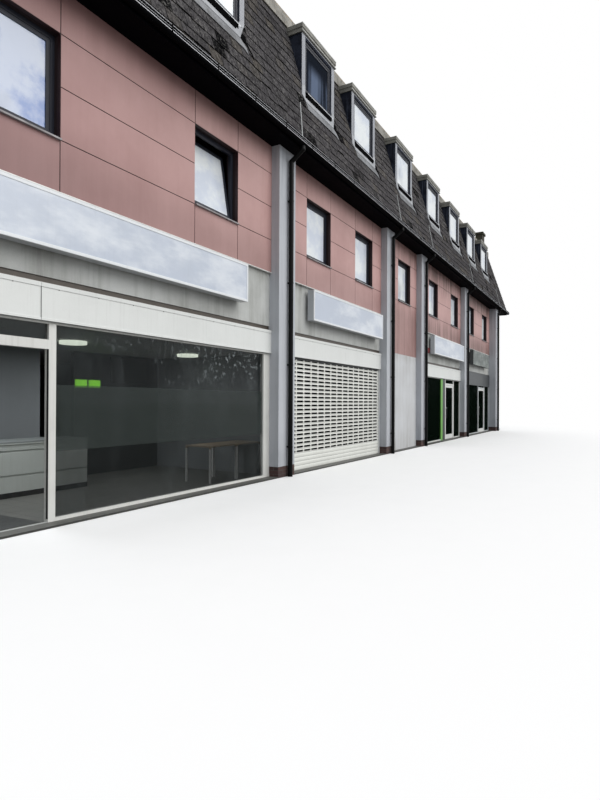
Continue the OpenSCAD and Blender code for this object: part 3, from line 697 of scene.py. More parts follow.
@dataclass(frozen=True)
class Sheet(Finish):
    """Lead, zinc or weathered flashing."""

    base: Colour
    stain: Colour
    amount: float = 0.6
    roughness: float = 0.5
    metallic: float = 0.35
    lichen: float = 0.0
    lichen_tint: Colour = srgb(176, 138, 74)
    lichen_z: float = 100.0
    lichen_h: float = 0.07

    def shader(self, graph: Graph) -> Value:
        """Builds the surface, with lichen along its upper edge where it has any.

        Args:
            graph: the material's graph.

        Returns:
            The shader.
        """
        cloud = graph.noise(3.5, 5.0, 0.65).step(0.35, 0.7)
        runs = graph.noise((16.0, 16.0, 0.9), 4.0, 0.7).step(0.45, 0.75)
        tinted = graph.mix((cloud * 0.6 + runs * 0.6) * self.amount, self.base, self.stain)
        if self.lichen:
            _, _, z = graph.axes()
            spots = graph.noise(24.0, 4.0, 0.75).step(0.5, 0.6)
            high = z.step(self.lichen_z - self.lichen_h, self.lichen_z)
            tinted = graph.mix(spots * (0.12 + high * 0.8) * self.lichen, tinted,
                               self.lichen_tint)
        ripple = graph.noise(7.0, 3.0, 0.6)
        fine = graph.noise(130.0, 2.0, 0.6)
        normal = graph.bump(ripple * 2.0 + fine * 0.15, 0.002)
        return graph.principled(base_color=tinted, normal=normal, metallic=self.metallic,
                                roughness=self.roughness + cloud * 0.25)


@dataclass(frozen=True)
class DormerSheet(Sheet):
    """Lead cheeks over a black sill."""

    sill: Colour = srgb(10, 11, 13)
    sill_z: float = 8.56
    gloss: float = 0.2

    def shader(self, graph: Graph) -> Value:
        """Builds the cheeks and the sill.

        Args:
            graph: the material's graph.

        Returns:
            The shader.
        """
        _, _, z = graph.axes()
        cloud = graph.noise(3.5, 5.0, 0.65).step(0.35, 0.7)
        runs = graph.noise((14.0, 14.0, 0.9), 4.0, 0.7).step(0.5, 0.78)
        tinted = graph.mix((cloud * 0.35 + runs * 0.8) * self.amount, self.base, self.stain)
        tinted = graph.mix(z < self.sill_z, tinted, self.sill)
        normal = graph.bump(graph.noise(7.0, 3.0, 0.6), 0.003)
        return graph.principled(base_color=tinted, normal=normal, metallic=self.metallic,
                                roughness=self.roughness + cloud * 0.25,
                                specular_ior_level=self.gloss)


@dataclass(frozen=True)
class Paint(Finish):
    """Painted or coated metal, timber and plastic, with dust and thin runs of dirt."""

    base: Colour
    dirt: Colour = srgb(96, 92, 84)
    soil: float = 0.25
    roughness: float = 0.35
    coat: float = 0.15
    ripple: float = 0.0003
    gloss: float = 0.5

    def colour(self, graph: Graph) -> Value:
        """Builds the dusty colour.

        Args:
            graph: the material's graph.

        Returns:
            The colour.
        """
        cloud = graph.noise(1.9, 5.0, 0.6).step(0.35, 0.8)
        runs = graph.noise((26.0, 26.0, 0.8), 4.0, 0.7).step(0.5, 0.8)
        tinted = graph.mix((cloud * 0.5 + runs * 0.8) * self.soil, self.base, self.dirt)
        return graph.shade(tinted, 0.97 + graph.noise(60.0, 2.0, 0.6) * 0.06)

    def shader(self, graph: Graph) -> Value:
        """Builds the surface.

        Args:
            graph: the material's graph.

        Returns:
            The shader.
        """
        fine = graph.noise(240.0, 2.0, 0.6)
        wave = graph.noise(5.0, 2.0, 0.5)
        normal = graph.bump(fine * 0.3 + wave * 2.0, self.ripple)
        rough = self.roughness + graph.noise(12.0, 4.0, 0.6) * 0.2
        return graph.principled(base_color=self.colour(graph), roughness=rough,
                                coat_weight=self.coat, coat_roughness=0.2, normal=normal,
                                specular_ior_level=self.gloss)


@dataclass(frozen=True)
class SignFace(Paint):
    """Pale acrylic with a painted reflection of soft clouds on its face, and plain grey sides."""

    cloud: Colour = srgb(240, 243, 246)
    side: Colour = srgb(176, 180, 185)
    face_y: float = 0.004

    def colour(self, graph: Graph) -> Value:
        """The face's colour with a painted reflection of soft clouds, and the sides' colour.

        Args:
            graph: the material's graph.

        Returns:
            The colour.
        """
        _, y, _ = graph.axes()
        # Painted reflection: soft clouds on the face.
        puff = graph.noise((0.9, 0.9, 2.2), 5.0, 0.6).step(0.42, 0.68)
        face = graph.mix(puff * 0.5, super().colour(graph), self.cloud)
        return graph.mix(y > self.face_y, face, self.side)


@dataclass(frozen=True)
class FasciaPaint(Paint):
    """Satin sheet whose hook under the concrete band is painted with shade and dirt, darker
    above its foot strip.
    """

    # Painted shade with dirt: the hook's upper part and its foot strip.
    recess_shade: Colour = srgb(74, 66, 58)
    ledge_shade: Colour = srgb(128, 121, 111)
    recess_y: float = 0.2
    recess_z: Span = (2.99, 3.024)

    def colour(self, graph: Graph) -> Value:
        """The sheet's colour, with painted shade where it turns up behind its front.

        Args:
            graph: the material's graph.

        Returns:
            The colour.
        """
        _, y, z = graph.axes()
        inside = (y > self.recess_y) * (z > self.recess_z[0])
        # Painted shade with dirt: darker above the foot strip, spotted.
        dirt = graph.mix(z > self.recess_z[1], self.ledge_shade, self.recess_shade)
        spots = graph.noise((9.0, 9.0, 3.0), 3.0, 0.6)
        return graph.mix(inside, super().colour(graph), graph.shade(dirt, 0.7 + spots * 0.6))


@dataclass(frozen=True)
class Mottled(Paint):
    """A weathered sign board with pale wipe marks on its face."""

    board: Colour = srgb(66, 74, 70)
    wipe: Colour = srgb(140, 148, 142)
    face_y: float = 0.004
    face_z: float = 3.3

    def colour(self, graph: Graph) -> Value:
        """The wiped colour on the face, the plain one elsewhere.

        Args:
            graph: the material's graph.

        Returns:
            The colour.
        """
        _, y, z = graph.axes()
        plain = super().colour(graph)
        cloud = graph.noise((1.4, 1.4, 2.4), 5.0, 0.7).step(0.38, 0.68)
        wiped = graph.mix(cloud * 0.75, self.board, self.wipe)
        on_face = (y < self.face_y) * (z > self.face_z)
        return graph.mix(on_face, plain, wiped)


@dataclass(frozen=True)
class DoorPaint(Paint):
    """A door leaf whose handles and middle hinge stay dark."""

    metal: Colour = srgb(34, 36, 38)
    handle_z: Span = (0.72, 1.32)
    proud: float = 0.027
    axis: int = 1
    middle: float = 0.26

    def colour(self, graph: Graph) -> Value:
        """The paint, with dark handles where the mesh stands proud of the leaf.

        Args:
            graph: the material's graph.

        Returns:
            The colour.
        """
        axes = graph.axes()
        out = abs(axes[self.axis] - self.middle) > self.proud
        return graph.mix(out * axes[2].band(*self.handle_z), super().colour(graph),
                         self.metal)


@dataclass(frozen=True)
class GreenFront(Paint):
    """Pale shop frames with a bright green strip beside a dark panel, dark at their left."""

    strip: Colour = srgb(104, 166, 72)
    panel: Colour = srgb(30, 36, 34)
    dark_x: float = 18.05
    strip_x: Span = (20.6, 20.8752)
    panel_x: Span = (20.8752, 21.2285)

    def colour(self, graph: Graph) -> Value:
        """The frame colour, the strip's and the panel's by their places.

        Args:
            graph: the material's graph.

        Returns:
            The colour.
        """
        x, _, _ = graph.axes()
        cloud = graph.noise(2.4, 4.0, 0.6)
        strip = graph.shade(self.strip, 0.7 + cloud * 0.6)
        tinted = graph.mix(x.band(*self.strip_x), super().colour(graph), strip)
        tinted = graph.mix(x < self.dark_x, tinted, self.panel)
        return graph.mix(x.band(*self.panel_x), tinted, self.panel)


@dataclass(frozen=True)
class RoomPlaster(Mineral):
    """Inner plaster: pale in the wide shop, unlit and dark in the others."""

    unlit: Colour = srgb(16, 17, 18)
    behind: Colour = srgb(24, 25, 26)
    behind_x: Span = (5.7, 8.1)
    behind_y: Span = (3.4, 3.7)

    def colour(self, graph: Graph) -> Value:
        """The plaster's colour by room, dark on the back wall beside the passage.

        Args:
            graph: the material's graph.

        Returns:
            The colour.
        """
        x, y, _ = graph.axes()
        back = x.band(*self.behind_x) * y.band(*self.behind_y)
        tinted = graph.mix(back, super().colour(graph), self.behind)
        return graph.mix(x > UNLIT_X, tinted, self.unlit)


@dataclass(frozen=True)
class Counter(Paint):
    """Pale counter panels under a darker top."""

    top: Colour = srgb(118, 122, 121)
    top_z: float = 0.875

    def colour(self, graph: Graph) -> Value:
        """The panels' colour, and the top's."""
        _, _, z = graph.axes()
        return graph.mix(z > self.top_z, super().colour(graph), self.top)


@dataclass(frozen=True)
class Lath(Paint):
    """A shutter curtain with a fine shadow line at each lath."""

    foot: float = 0.025
    height: float = 0.093
    shadow: Colour = srgb(96, 100, 106)
    shadow_h: Span = (0.010, 0.003)

    def colour(self, graph: Graph) -> Value:
        """White with a dark line under each lath.

        Args:
            graph: the material's graph.

        Returns:
            The colour.
        """
        _, _, z = graph.axes()
        line = (z - self.foot).modulo(self.height).step(*self.shadow_h)
        return graph.mix(line * 0.6, super().colour(graph), self.shadow)

    def shader(self, graph: Graph) -> Value:
        """Builds curved laths with dust.

        Args:
            graph: the material's graph.

        Returns:
            The shader.
        """
        _, _, z = graph.axes()
        share = (z - self.foot).modulo(self.height) / self.height
        bow = share * (1.0 - share) * 4.0
        fine = graph.noise(240.0, 2.0, 0.6)
        normal = graph.bump(bow + fine * 0.02, 0.006)
        return graph.principled(base_color=self.colour(graph), roughness=0.38,
                                coat_weight=self.coat, normal=normal)


@dataclass(frozen=True)
class Pane(Finish):
    """Double glazing with a painted reflection of bright clouds over dark rooms.

    The painted reflection is blue at the left end and pale further on. The dormer within dim_x
    and above dim_z has none: it shows a curtain before a room painted dark as shade. Each other
    pair of places ends where its effect is full.
    """

    bright: Colour = srgb(236, 240, 242)
    cloud: Colour = srgb(122, 146, 200)
    room: Colour = srgb(28, 32, 40)
    # Painted shade: the dark room behind the dim dormer.
    unlit_room: Colour = srgb(30, 34, 42)
    curtain: Colour = srgb(100, 112, 134)
    clear: float = 0.04
    gloss: float = 0.6
    blue_x: Span = (4.5, 2.5)
    pale_x: Span = (3.0, 5.0)
    dim_x: Span = (9.0, 11.0)
    dim_z: float = 8.0
    curtain_x: Span = (9.5, 9.7)
    curtain_z: Span = (9.5, 9.15)

    def shader(self, graph: Graph) -> Value:
        """Builds the pane, dim in the one dormer that has no painted reflection.

        Args:
            graph: the material's graph.

        Returns:
            The shader.
        """
        x, y, z = graph.axes()
        # Painted reflection: clouds and blue sky, with patches of the dark room.
        puff = graph.noise((1.3, 1.3, 1.5), 6.0, 0.6).step(0.36, 0.58)
        dark = graph.noise((0.9, 0.9, 0.7), 3.0, 0.5).step(0.6, 0.75)
        puff = puff * (1.0 - x.step(*self.blue_x) * 0.45)
        puff = puff + (1.0 - puff) * x.step(*self.pale_x) * 0.7
        tinted = graph.mix(puff, self.cloud, self.bright)
        tinted = graph.mix(dark * 0.35, tinted, self.room)
        # Painted shade: the dim dormer shows a dark room and a curtain.
        dim = x.band(*self.dim_x) * (z > self.dim_z) * (y < STREET.mid_y)
        folds = graph.noise((2.6, 2.6, 0.12), 3.0, 0.7).step(0.38, 0.62)
        drawn = folds * z.step(*self.curtain_z) * x.step(*self.curtain_x)
        tinted = graph.mix(dim, tinted, graph.mix(drawn, self.unlit_room, self.curtain))
        dust = graph.noise(30.0, 3.0, 0.6)
        wave = graph.bump(graph.noise(1.6, 1.0, 0.4), 0.003)
        face = graph.glazing(dim, self.gloss, (0.06 + dust * 0.06, 0.3 + dust * 0.1),
                             base_color=tinted, normal=wave)
        return graph.blend(self.clear, face, graph.clear())


@dataclass(frozen=True)
class ShopPane(Finish):
    """Large dark shop glass with faint dust, and bright specks of painted reflection high up."""

    tint: Colour = srgb(20, 24, 24)
    dust: Colour = srgb(150, 158, 160)
    far: Colour = srgb(9, 17, 12)
    solid: float = 0.42
    gloss: float = 0.25
    speck_x: Span = (2.9, 5.2)
    speck_z: Span = (1.5, 2.3)

    def shader(self, graph: Graph) -> Value:
        """Builds the pane, darker and duller before the unlit shops.

        Args:
            graph: the material's graph.

        Returns:
            The shader.
        """
        x, _, z = graph.axes()
        film = graph.noise((2.2, 2.2, 1.0), 5.0, 0.6).step(0.45, 0.85)
        # Painted reflection: bright specks high up, drawn in the dust colour.
        fine = graph.noise(11.0, 6.0, 0.8).step(0.54, 0.64)
        cluster = graph.noise((0.7, 0.7, 1.2), 3.0, 0.5).step(0.4, 0.56)
        specks = fine * cluster * z.step(*self.speck_z) * x.step(*self.speck_x)
        away = x > UNLIT_X
        body = graph.mix(away, self.tint, self.far)
        # The dust colour paints both the dust film and the bright specks of painted reflection.
        share = film * (1.0 - away) * 0.12 + specks * (0.8 - away * 0.65)
        tinted = graph.mix(share, body, self.dust)
        wave = graph.bump(graph.noise(1.1, 1.0, 0.4), 0.002)
        face = graph.glazing(away, self.gloss, (0.04 + film * 0.08, 0.2 + film * 0.08),
                             base_color=tinted, normal=wave)
        solid = self.solid + film * 0.1 + specks * 0.4 + away * 0.25
        return graph.blend(solid, graph.clear(), face)


@dataclass(frozen=True)
class Film(Finish):
    """Frosted film on the inside of shop glass."""

    tint: Colour = srgb(142, 156, 150)
    solid: float = 0.42

    def shader(self, graph: Graph) -> Value:
        """Builds the film.

        Args:
            graph: the material's graph.

        Returns:
            The shader.
        """
        grain = graph.noise(400.0, 2.0, 0.7)
        cloud = graph.noise((3.0, 3.0, 1.4), 4.0, 0.6)
        face = graph.principled(base_color=graph.shade(self.tint, 0.7 + cloud * 0.6),
                                roughness=0.6 + grain * 0.3,
                                normal=graph.bump(grain, 0.0004))
        return graph.blend(self.solid, graph.clear(), face)


@dataclass(frozen=True)
class Tiles(Finish):
    """Square floor or ceiling tiles with thin joints."""

    base: Colour
    joint: Colour
    size: float
    gap: float = 0.006
    roughness: float = 0.4
    unlit_loss: float = 0.93

    def shader(self, graph: Graph) -> Value:
        """Builds the tiles.

        Args:
            graph: the material's graph.

        Returns:
            The shader.
        """
        x, y, _ = graph.axes()
        near = (x.modulo(self.size) < self.gap) + (y.modulo(self.size) < self.gap)
        line = near > 0.5
        cloud = graph.noise(2.0, 4.0, 0.6)
        speck = graph.noise(150.0, 2.0, 0.7)
        light = 0.78 + cloud * 0.3 + speck * 0.12
        light = light * (1.0 - graph.unlit() * self.unlit_loss)
        tinted = graph.shade(graph.mix(line, self.base, self.joint), light)
        normal = graph.bump((1.0 - line) + speck * 0.1, 0.002)
        return graph.principled(base_color=tinted, roughness=self.roughness + cloud * 0.3,
                                normal=normal)


@dataclass(frozen=True)
class Glow(Finish):
    """A lit face, brighter in its middle rows."""

    colour: Colour
    strength: float
    rows: float = 30.0

    def shader(self, graph: Graph) -> Value:
        """Builds the lit face.

        Args:
            graph: the material's graph.

        Returns:
            The shader.
        """
        _, _, z = graph.axes()
        stripe = (z * self.rows).modulo(1.0).step(0.1, 0.5)
        cloud = graph.noise(9.0, 3.0, 0.6)
        tinted = graph.shade(self.colour, 0.6 + cloud * 0.5 + stripe * 0.15)
        return graph.principled(base_color=tinted, roughness=0.4, emission_color=tinted,
                                emission_strength=self.strength)


@dataclass(frozen=True)
class Fittings(Paint):
    """Ceiling lights that glow below their rims, and pale tables."""

    glow_z: float = 2.45
    wood_z: float = 0.66
    wood: Colour = srgb(150, 132, 108)
    lamp: Colour = srgb(250, 248, 240)
    light: Colour = srgb(225, 235, 218)
    strength: float = 2.4

    def shader(self, graph: Graph) -> Value:
        """Builds the lights, and below them the tables with wooden tops.

        Args:
            graph: the material's graph.

        Returns:
            The shader.
        """
        _, _, z = graph.axes()
        table = graph.mix(z > self.wood_z, self.colour(graph), self.wood)
        tinted = graph.mix(z > self.glow_z, table, self.lamp)
        fine = graph.noise(200.0, 2.0, 0.6)
        lit = graph.shade(self.light, z > self.glow_z)
        return graph.principled(base_color=tinted, roughness=0.35 + fine * 0.1,
                                emission_color=lit, emission_strength=self.strength,
                                normal=graph.bump(fine, 0.0002))


@dataclass(frozen=True)
class Felt(Finish):
    """Mineral felt in lapped strips across the flat roof."""

    base: Colour = srgb(92, 94, 92)
    strip: float = 1.0

    def shader(self, graph: Graph) -> Value:
        """Builds the felt.

        Args:
            graph: the material's graph.

        Returns:
            The shader.
        """
        x, _, _ = graph.axes()
        lap = x.modulo(self.strip).step(0.0, 0.02)
        grain = graph.noise(300.0, 2.0, 0.8)
        puddle = graph.noise(0.8, 5.0, 0.65).step(0.42, 0.62)
        tinted = graph.shade(self.base, 0.55 + grain * 0.4 + puddle * 0.25 + lap * 0.15)
        normal = graph.bump(lap + grain * 0.5, 0.004)
        return graph.principled(base_color=tinted, roughness=0.92 - puddle * 0.1,
                                normal=normal)


CLAD_BASE, CLAD_DARK = srgb(186, 148, 144), srgb(140, 98, 94)
SLOTS: dict[str, Finish] = {
    "concrete_floor": Mineral("cast_floor", srgb(130, 127, 121), srgb(84, 82, 80)),
    "roof_felt": Felt("lapped_felt"),
    "kerb_flashing": Sheet("kerb_sheet", srgb(140, 138, 132), srgb(80, 78, 72), amount=1.0,
                           lichen=0.9, lichen_z=10.4),
    # The piers carry painted shade towards the eaves.
    "pier_facing": Mineral("pier_facing_pale", srgb(190, 193, 199), srgb(144, 147, 154),
                           patches=0.3, streaks=0.35, foot=(0.2, 0.9), top=(4.5, 6.9)),
    "plinth_brick": Brick("plinth_red", srgb(80, 56, 52), srgb(56, 42, 42),
                          srgb(82, 78, 74)),
    "plaster": RoomPlaster("inner_plaster", srgb(116, 119, 121), srgb(98, 101, 103),
                           streaks=0.1),
    "party_wall_brick": Brick("party_brick", srgb(132, 84, 66), srgb(108, 66, 54),
                              srgb(140, 134, 124)),
    "end_wall_panels": Cladding("end_cladding", CLAD_BASE, CLAD_DARK, streaks=0.1,
                                front_y=STREET.mid_y),
    # The render carries painted shade towards its top.
    "pale_render": Mineral("stair_render", srgb(204, 206, 209), srgb(162, 160, 158),
                           foot=(0.0, 0.8), top=(2.8, 3.1)),
    "rear_wall_panels": Cladding("rear_cladding", CLAD_BASE, CLAD_DARK, streaks=0.1),
    "wall_core": Mineral("reveal_block", srgb(38, 20, 22), srgb(22, 14, 16)),
    "cladding_panels": Cladding("front_panels", CLAD_BASE, CLAD_DARK, streaks=0.1),
    # The band carries painted shade at its top, under the signs.
    "band_concrete": Mineral("band_cast", srgb(196, 198, 196), srgb(124, 124, 118),
                             patches=0.5, streaks=0.35, grain=0.16, top=(3.9, 4.2)),
    "white_fascia": FasciaPaint("fascia_white", srgb(219, 221, 219), soil=0.14),
    "sign_face": SignFace("sign_pale", srgb(188, 196, 210), soil=0.1, roughness=0.22,
                          coat=0.4),
    "dark_sign": Mottled("sign_dark", srgb(44, 48, 50), srgb(90, 92, 90), soil=0.3),
    "shutter_white": Lath("shutter_laths", srgb(226, 227, 221), soil=0.18),
    "guide_white": Paint("guide_satin", srgb(206, 208, 208), soil=0.3),
    "frame_white": Paint("shop_frame_white", srgb(214, 214, 210), soil=0.25),
    "green_shop_frame": GreenFront("shop_frame_pale", srgb(216, 217, 214), soil=0.2),
    "frame_grey": Paint("shop_frame_grey", srgb(190, 194, 196), soil=0.3),
    "shop_glass": ShopPane("shop_pane"),
    "door_white": DoorPaint("door_leaf_white", srgb(218, 219, 217), soil=0.25),
    "door_glass": ShopPane("door_pane", solid=0.3),
    "window_frame_grey": Paint("casement_grey", srgb(34, 37, 48), soil=0.1, coat=0.0,
                               gloss=0.3),
    "window_glass": Pane("house_pane"),
    "sill_metal": Sheet("sill_sheet", srgb(150, 148, 150), srgb(98, 94, 96)),
    "slates": Slate("slope_under"),
    "dormer_cheek": DormerSheet("cheek_lead", srgb(12, 16, 29), srgb(96, 104, 124),
                                amount=0.6, metallic=0.0, roughness=0.75),
    "dormer_fascia": Sheet("cornice_sheet", srgb(132, 130, 123), srgb(84, 84, 80),
                           amount=0.6, metallic=0.15),
    "eaves_black": Paint("eaves_gloss", srgb(5, 5, 9), srgb(30, 30, 32), soil=0.04,
                         coat=0.0, gloss=0.03, roughness=0.6),
    "gutter_black": Paint("gutter_gloss", srgb(5, 5, 7), srgb(44, 44, 44), soil=0.04,
                          roughness=0.6, coat=0.0, gloss=0.03),
    "pipe_black": Paint("pipe_gloss", srgb(7, 8, 10), srgb(64, 58, 52), soil=0.1,
                        roughness=0.3, coat=0.0, gloss=0.14),
    "chimney_brick": Brick("chimney_mossy", srgb(56, 46, 38), srgb(42, 36, 32),
                           srgb(56, 54, 48), moss=0.6),
    "counter_steel": Counter("counter_panels", srgb(178, 182, 177), soil=0.2),
    "ceiling_tile": Tiles("ceiling_panels", srgb(196, 198, 198), srgb(120, 122, 124), 0.6),
    "fittings_white": Fittings("fittings_pale", srgb(205, 206, 204)),
}
NODE_FINISHES: dict[str, Finish] = {
    "fish_shop_door": DoorPaint("open_leaf_white", srgb(218, 219, 217), axis=0,
                                middle=1.87),
    "ground_slab": Tiles("shop_floor", srgb(84, 84, 80), srgb(56, 56, 54), 0.3),
}
ROOF_SLATE = Slate("slope_tiles")

# The slot and the finish of each piece that is added to the frame.
PIECES: dict[str, tuple[str, Finish]] = {
    "slates_front": ("slates", ROOF_SLATE),
    "slates_rear": ("slates", ROOF_SLATE),
    "slates_end": ("slates", ROOF_SLATE),
    "hip_tiles": ("slates", ROOF_SLATE),
    "roof_strips": ("kerb_flashing", Paint("strip_pale", srgb(170, 172, 172))),
    "dormer_casings": ("dormer_cheek", Paint("casing_grey", srgb(146, 149, 157), soil=0.35)),
    "sill_lines": ("dormer_cheek", Paint("sill_white", srgb(206, 209, 214), soil=0.2)),
    # A black board and dark sheets of painted shadow under each dormer's sill.
    "sill_shadows": ("dormer_cheek", Paint("painted_sill_shadow", srgb(5, 5, 6), soil=0.0, coat=0.0,
                                          gloss=0.02, roughness=0.8)),
    "lead_aprons": ("dormer_fascia", Sheet("apron_lead", srgb(158, 160, 164),
                                           srgb(112, 115, 120))),
    "lead_skirts": ("dormer_fascia", Sheet("skirt_lead", srgb(122, 124, 128),
                                           srgb(84, 84, 84), amount=0.8)),
    # Pale lines of painted highlight along the dormers' cornices.
    "painted_cornice_highlights": ("dormer_fascia", Sheet("painted_highlight_pale", srgb(188, 188, 184),
                                             srgb(120, 120, 116))),
    "gutter_fittings": ("gutter_black", SLOTS["gutter_black"]),
    # Pale bars of painted highlight along the gutters.
    "gutter_beads": ("gutter_black", Paint("painted_highlight_grey", srgb(214, 216, 222), soil=0.4)),
    "cladding_drips": ("sill_metal", Sheet("drip_pale", srgb(226, 226, 224),
                                           srgb(160, 158, 154), amount=0.4)),
    "fascia_trims": ("white_fascia", SLOTS["white_fascia"]),
    # Fascia joints and screws, and a painted shadow line under each fascia.
    "fascia_joints_and_shadow": ("white_fascia", Paint("joint_and_shadow_dark", srgb(70, 74, 74))),
    "sign_trims": ("sign_face", Paint("trim_white", srgb(226, 229, 232), soil=0.15)),
    "alarm_box": ("sign_face", Paint("alarm_red", srgb(120, 34, 36), soil=0.2)),
    "rear_panel_joints": ("rear_wall_panels", Mineral("joint_shadow", srgb(44, 26, 28),
                                                      srgb(30, 20, 22))),
    # Dark trims, and dark strips of painted shadow inside the shops.
    "dark_trims_and_shadows": ("dark_sign", Paint("black_trim_and_shadow", srgb(22, 24, 26))),
    "threshold": ("frame_white", Paint("threshold_worn", srgb(176, 178, 176), soil=0.5)),
    "price_displays": ("fittings_white", Glow("display_green", srgb(124, 200, 58), 1.3)),
    "frosted_film": ("shop_glass", Film("frost")),
}


def dress_frame() -> None:
    """Gives every CAD node the finish of its record slot."""
    for part in frame["record"]["subparts"]:
        node = frame["nodes"][part["node"]]
        finish = NODE_FINISHES.get(part["node"], SLOTS[part["material_slot"]])
        node.data.materials.clear()
        node.data.materials.append(finish.material())


# Meshes

CORNERS: list[tuple[int, ...]] = [(a, b, c) for a in (0, 1) for b in (0, 1) for c in (0, 1)]
SQUARE = ((0, 0), (1, 0), (1, 1), (0, 1))


def box_faces() -> list[list[int]]:
    """Lists the faces of a box with chamfered edges.

    Each corner of the box has three points, one for each axis. A point's number is eight
    times its axis and the number of its corner.

    Returns:
        The points of the six sides, the twelve edges and the eight corners.
    """
    def corner(axis: int, sign: int, pair: tuple[int, int]) -> int:
        """Numbers a corner.

        Args:
            axis: any axis.
            sign: the corner's side along it.
            pair: the corner's sides along the next two axes.

        Returns:
            Its number.
        """
        signs = [0, 0, 0]
        signs[axis], signs[(axis + 1) % 3], signs[(axis + 2) % 3] = sign, *pair
        return CORNERS.index(tuple(signs))

    faces = [[8 * axis + corner(axis, sign, pair) for pair in SQUARE]
             for axis in range(3) for sign in (0, 1)]
    for axis in range(3):
        u, v = 8 * ((axis + 1) % 3), 8 * ((axis + 2) % 3)
        for pair in SQUARE:
            low, high = corner(axis, 0, pair), corner(axis, 1, pair)
            faces.append([u + low, u + high, v + high, v + low])
    return faces + [[number, 8 + number, 16 + number] for number in range(8)]


BOX_FACES = box_faces()


@dataclass
class Build:
    """Collects the faces of one piece in the street frame."""

    vertices: list[Vector] = field(default_factory=list)
    faces: list[tuple[int, ...]] = field(default_factory=list)
    tones: list[float] = field(default_factory=list)

    def add(self, points: Iterable[Point], faces: Iterable[Sequence[int]],
            tone: float = 0.5) -> None:
        """Adds a small mesh.

        Args:
            points: its points.
            faces: the numbers of each face's points.
            tone: the tone of all its faces.
        """
        first = len(self.vertices)
        self.vertices.extend(STREET.point(*point) for point in points)
        for face in faces:
            self.faces.append(tuple(first + index for index in face))
            self.tones.append(tone)

    def box(self, xs: Span, ys: Span, zs: Span, edge: float = 0.002) -> None:
        """Adds a box with chamfered edges.

        Args:
            xs, ys, zs: its two ends along each axis, in either order.
            edge: width of the chamfer, which takes at most 0.3 of a side.
        """
        low, high = zip(*(sorted(span) for span in (xs, ys, zs)))
        cut = min(edge, *((b - a) * 0.3 for a, b in zip(low, high)))
        points = []
        for axis in range(3):
            for signs in CORNERS:
                point = [high[k] if signs[k] else low[k] for k in range(3)]
                for k in range(3):
                    if k != axis:
                        point[k] += -cut if signs[k] else cut
                points.append(tuple(point))
        self.add(points, BOX_FACES)

    def piece(self, name: str) -> None:
        """Makes the object, dresses it and hangs it on the building.

        Args:
            name: name of the piece, as PIECES lists it.
        """
        slot, finish = PIECES[name]
        mesh = bpy.data.meshes.new(name)
        mesh.from_pydata([tuple(v) for v in self.vertices], [], self.faces)
        layer = mesh.attributes.new("tone", "FLOAT", "FACE")
        layer.data.foreach_set("value", self.tones)
        work = bmesh.new()
        work.from_mesh(mesh)
        bmesh.ops.recalc_face_normals(work, faces=work.faces)
        work.to_mesh(mesh)
        work.free()
        mesh.materials.append(finish.material())
        made = show(name, mesh)
        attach(made, "building")
        LOG.info("%s: %d faces", name, len(self.faces))


# Roof

# Faces of a folded tile between its two ends, each with three points on top and three below.
FOLD_FACES = ((0, 1, 7, 6), (1, 2, 8, 7), (3, 4, 1, 0), (4, 5, 2, 1), (3, 9, 10, 4),
              (4, 10, 11, 5), (0, 6, 9, 3), (2, 5, 11, 8), (6, 7, 10, 9), (7, 8, 11, 10))


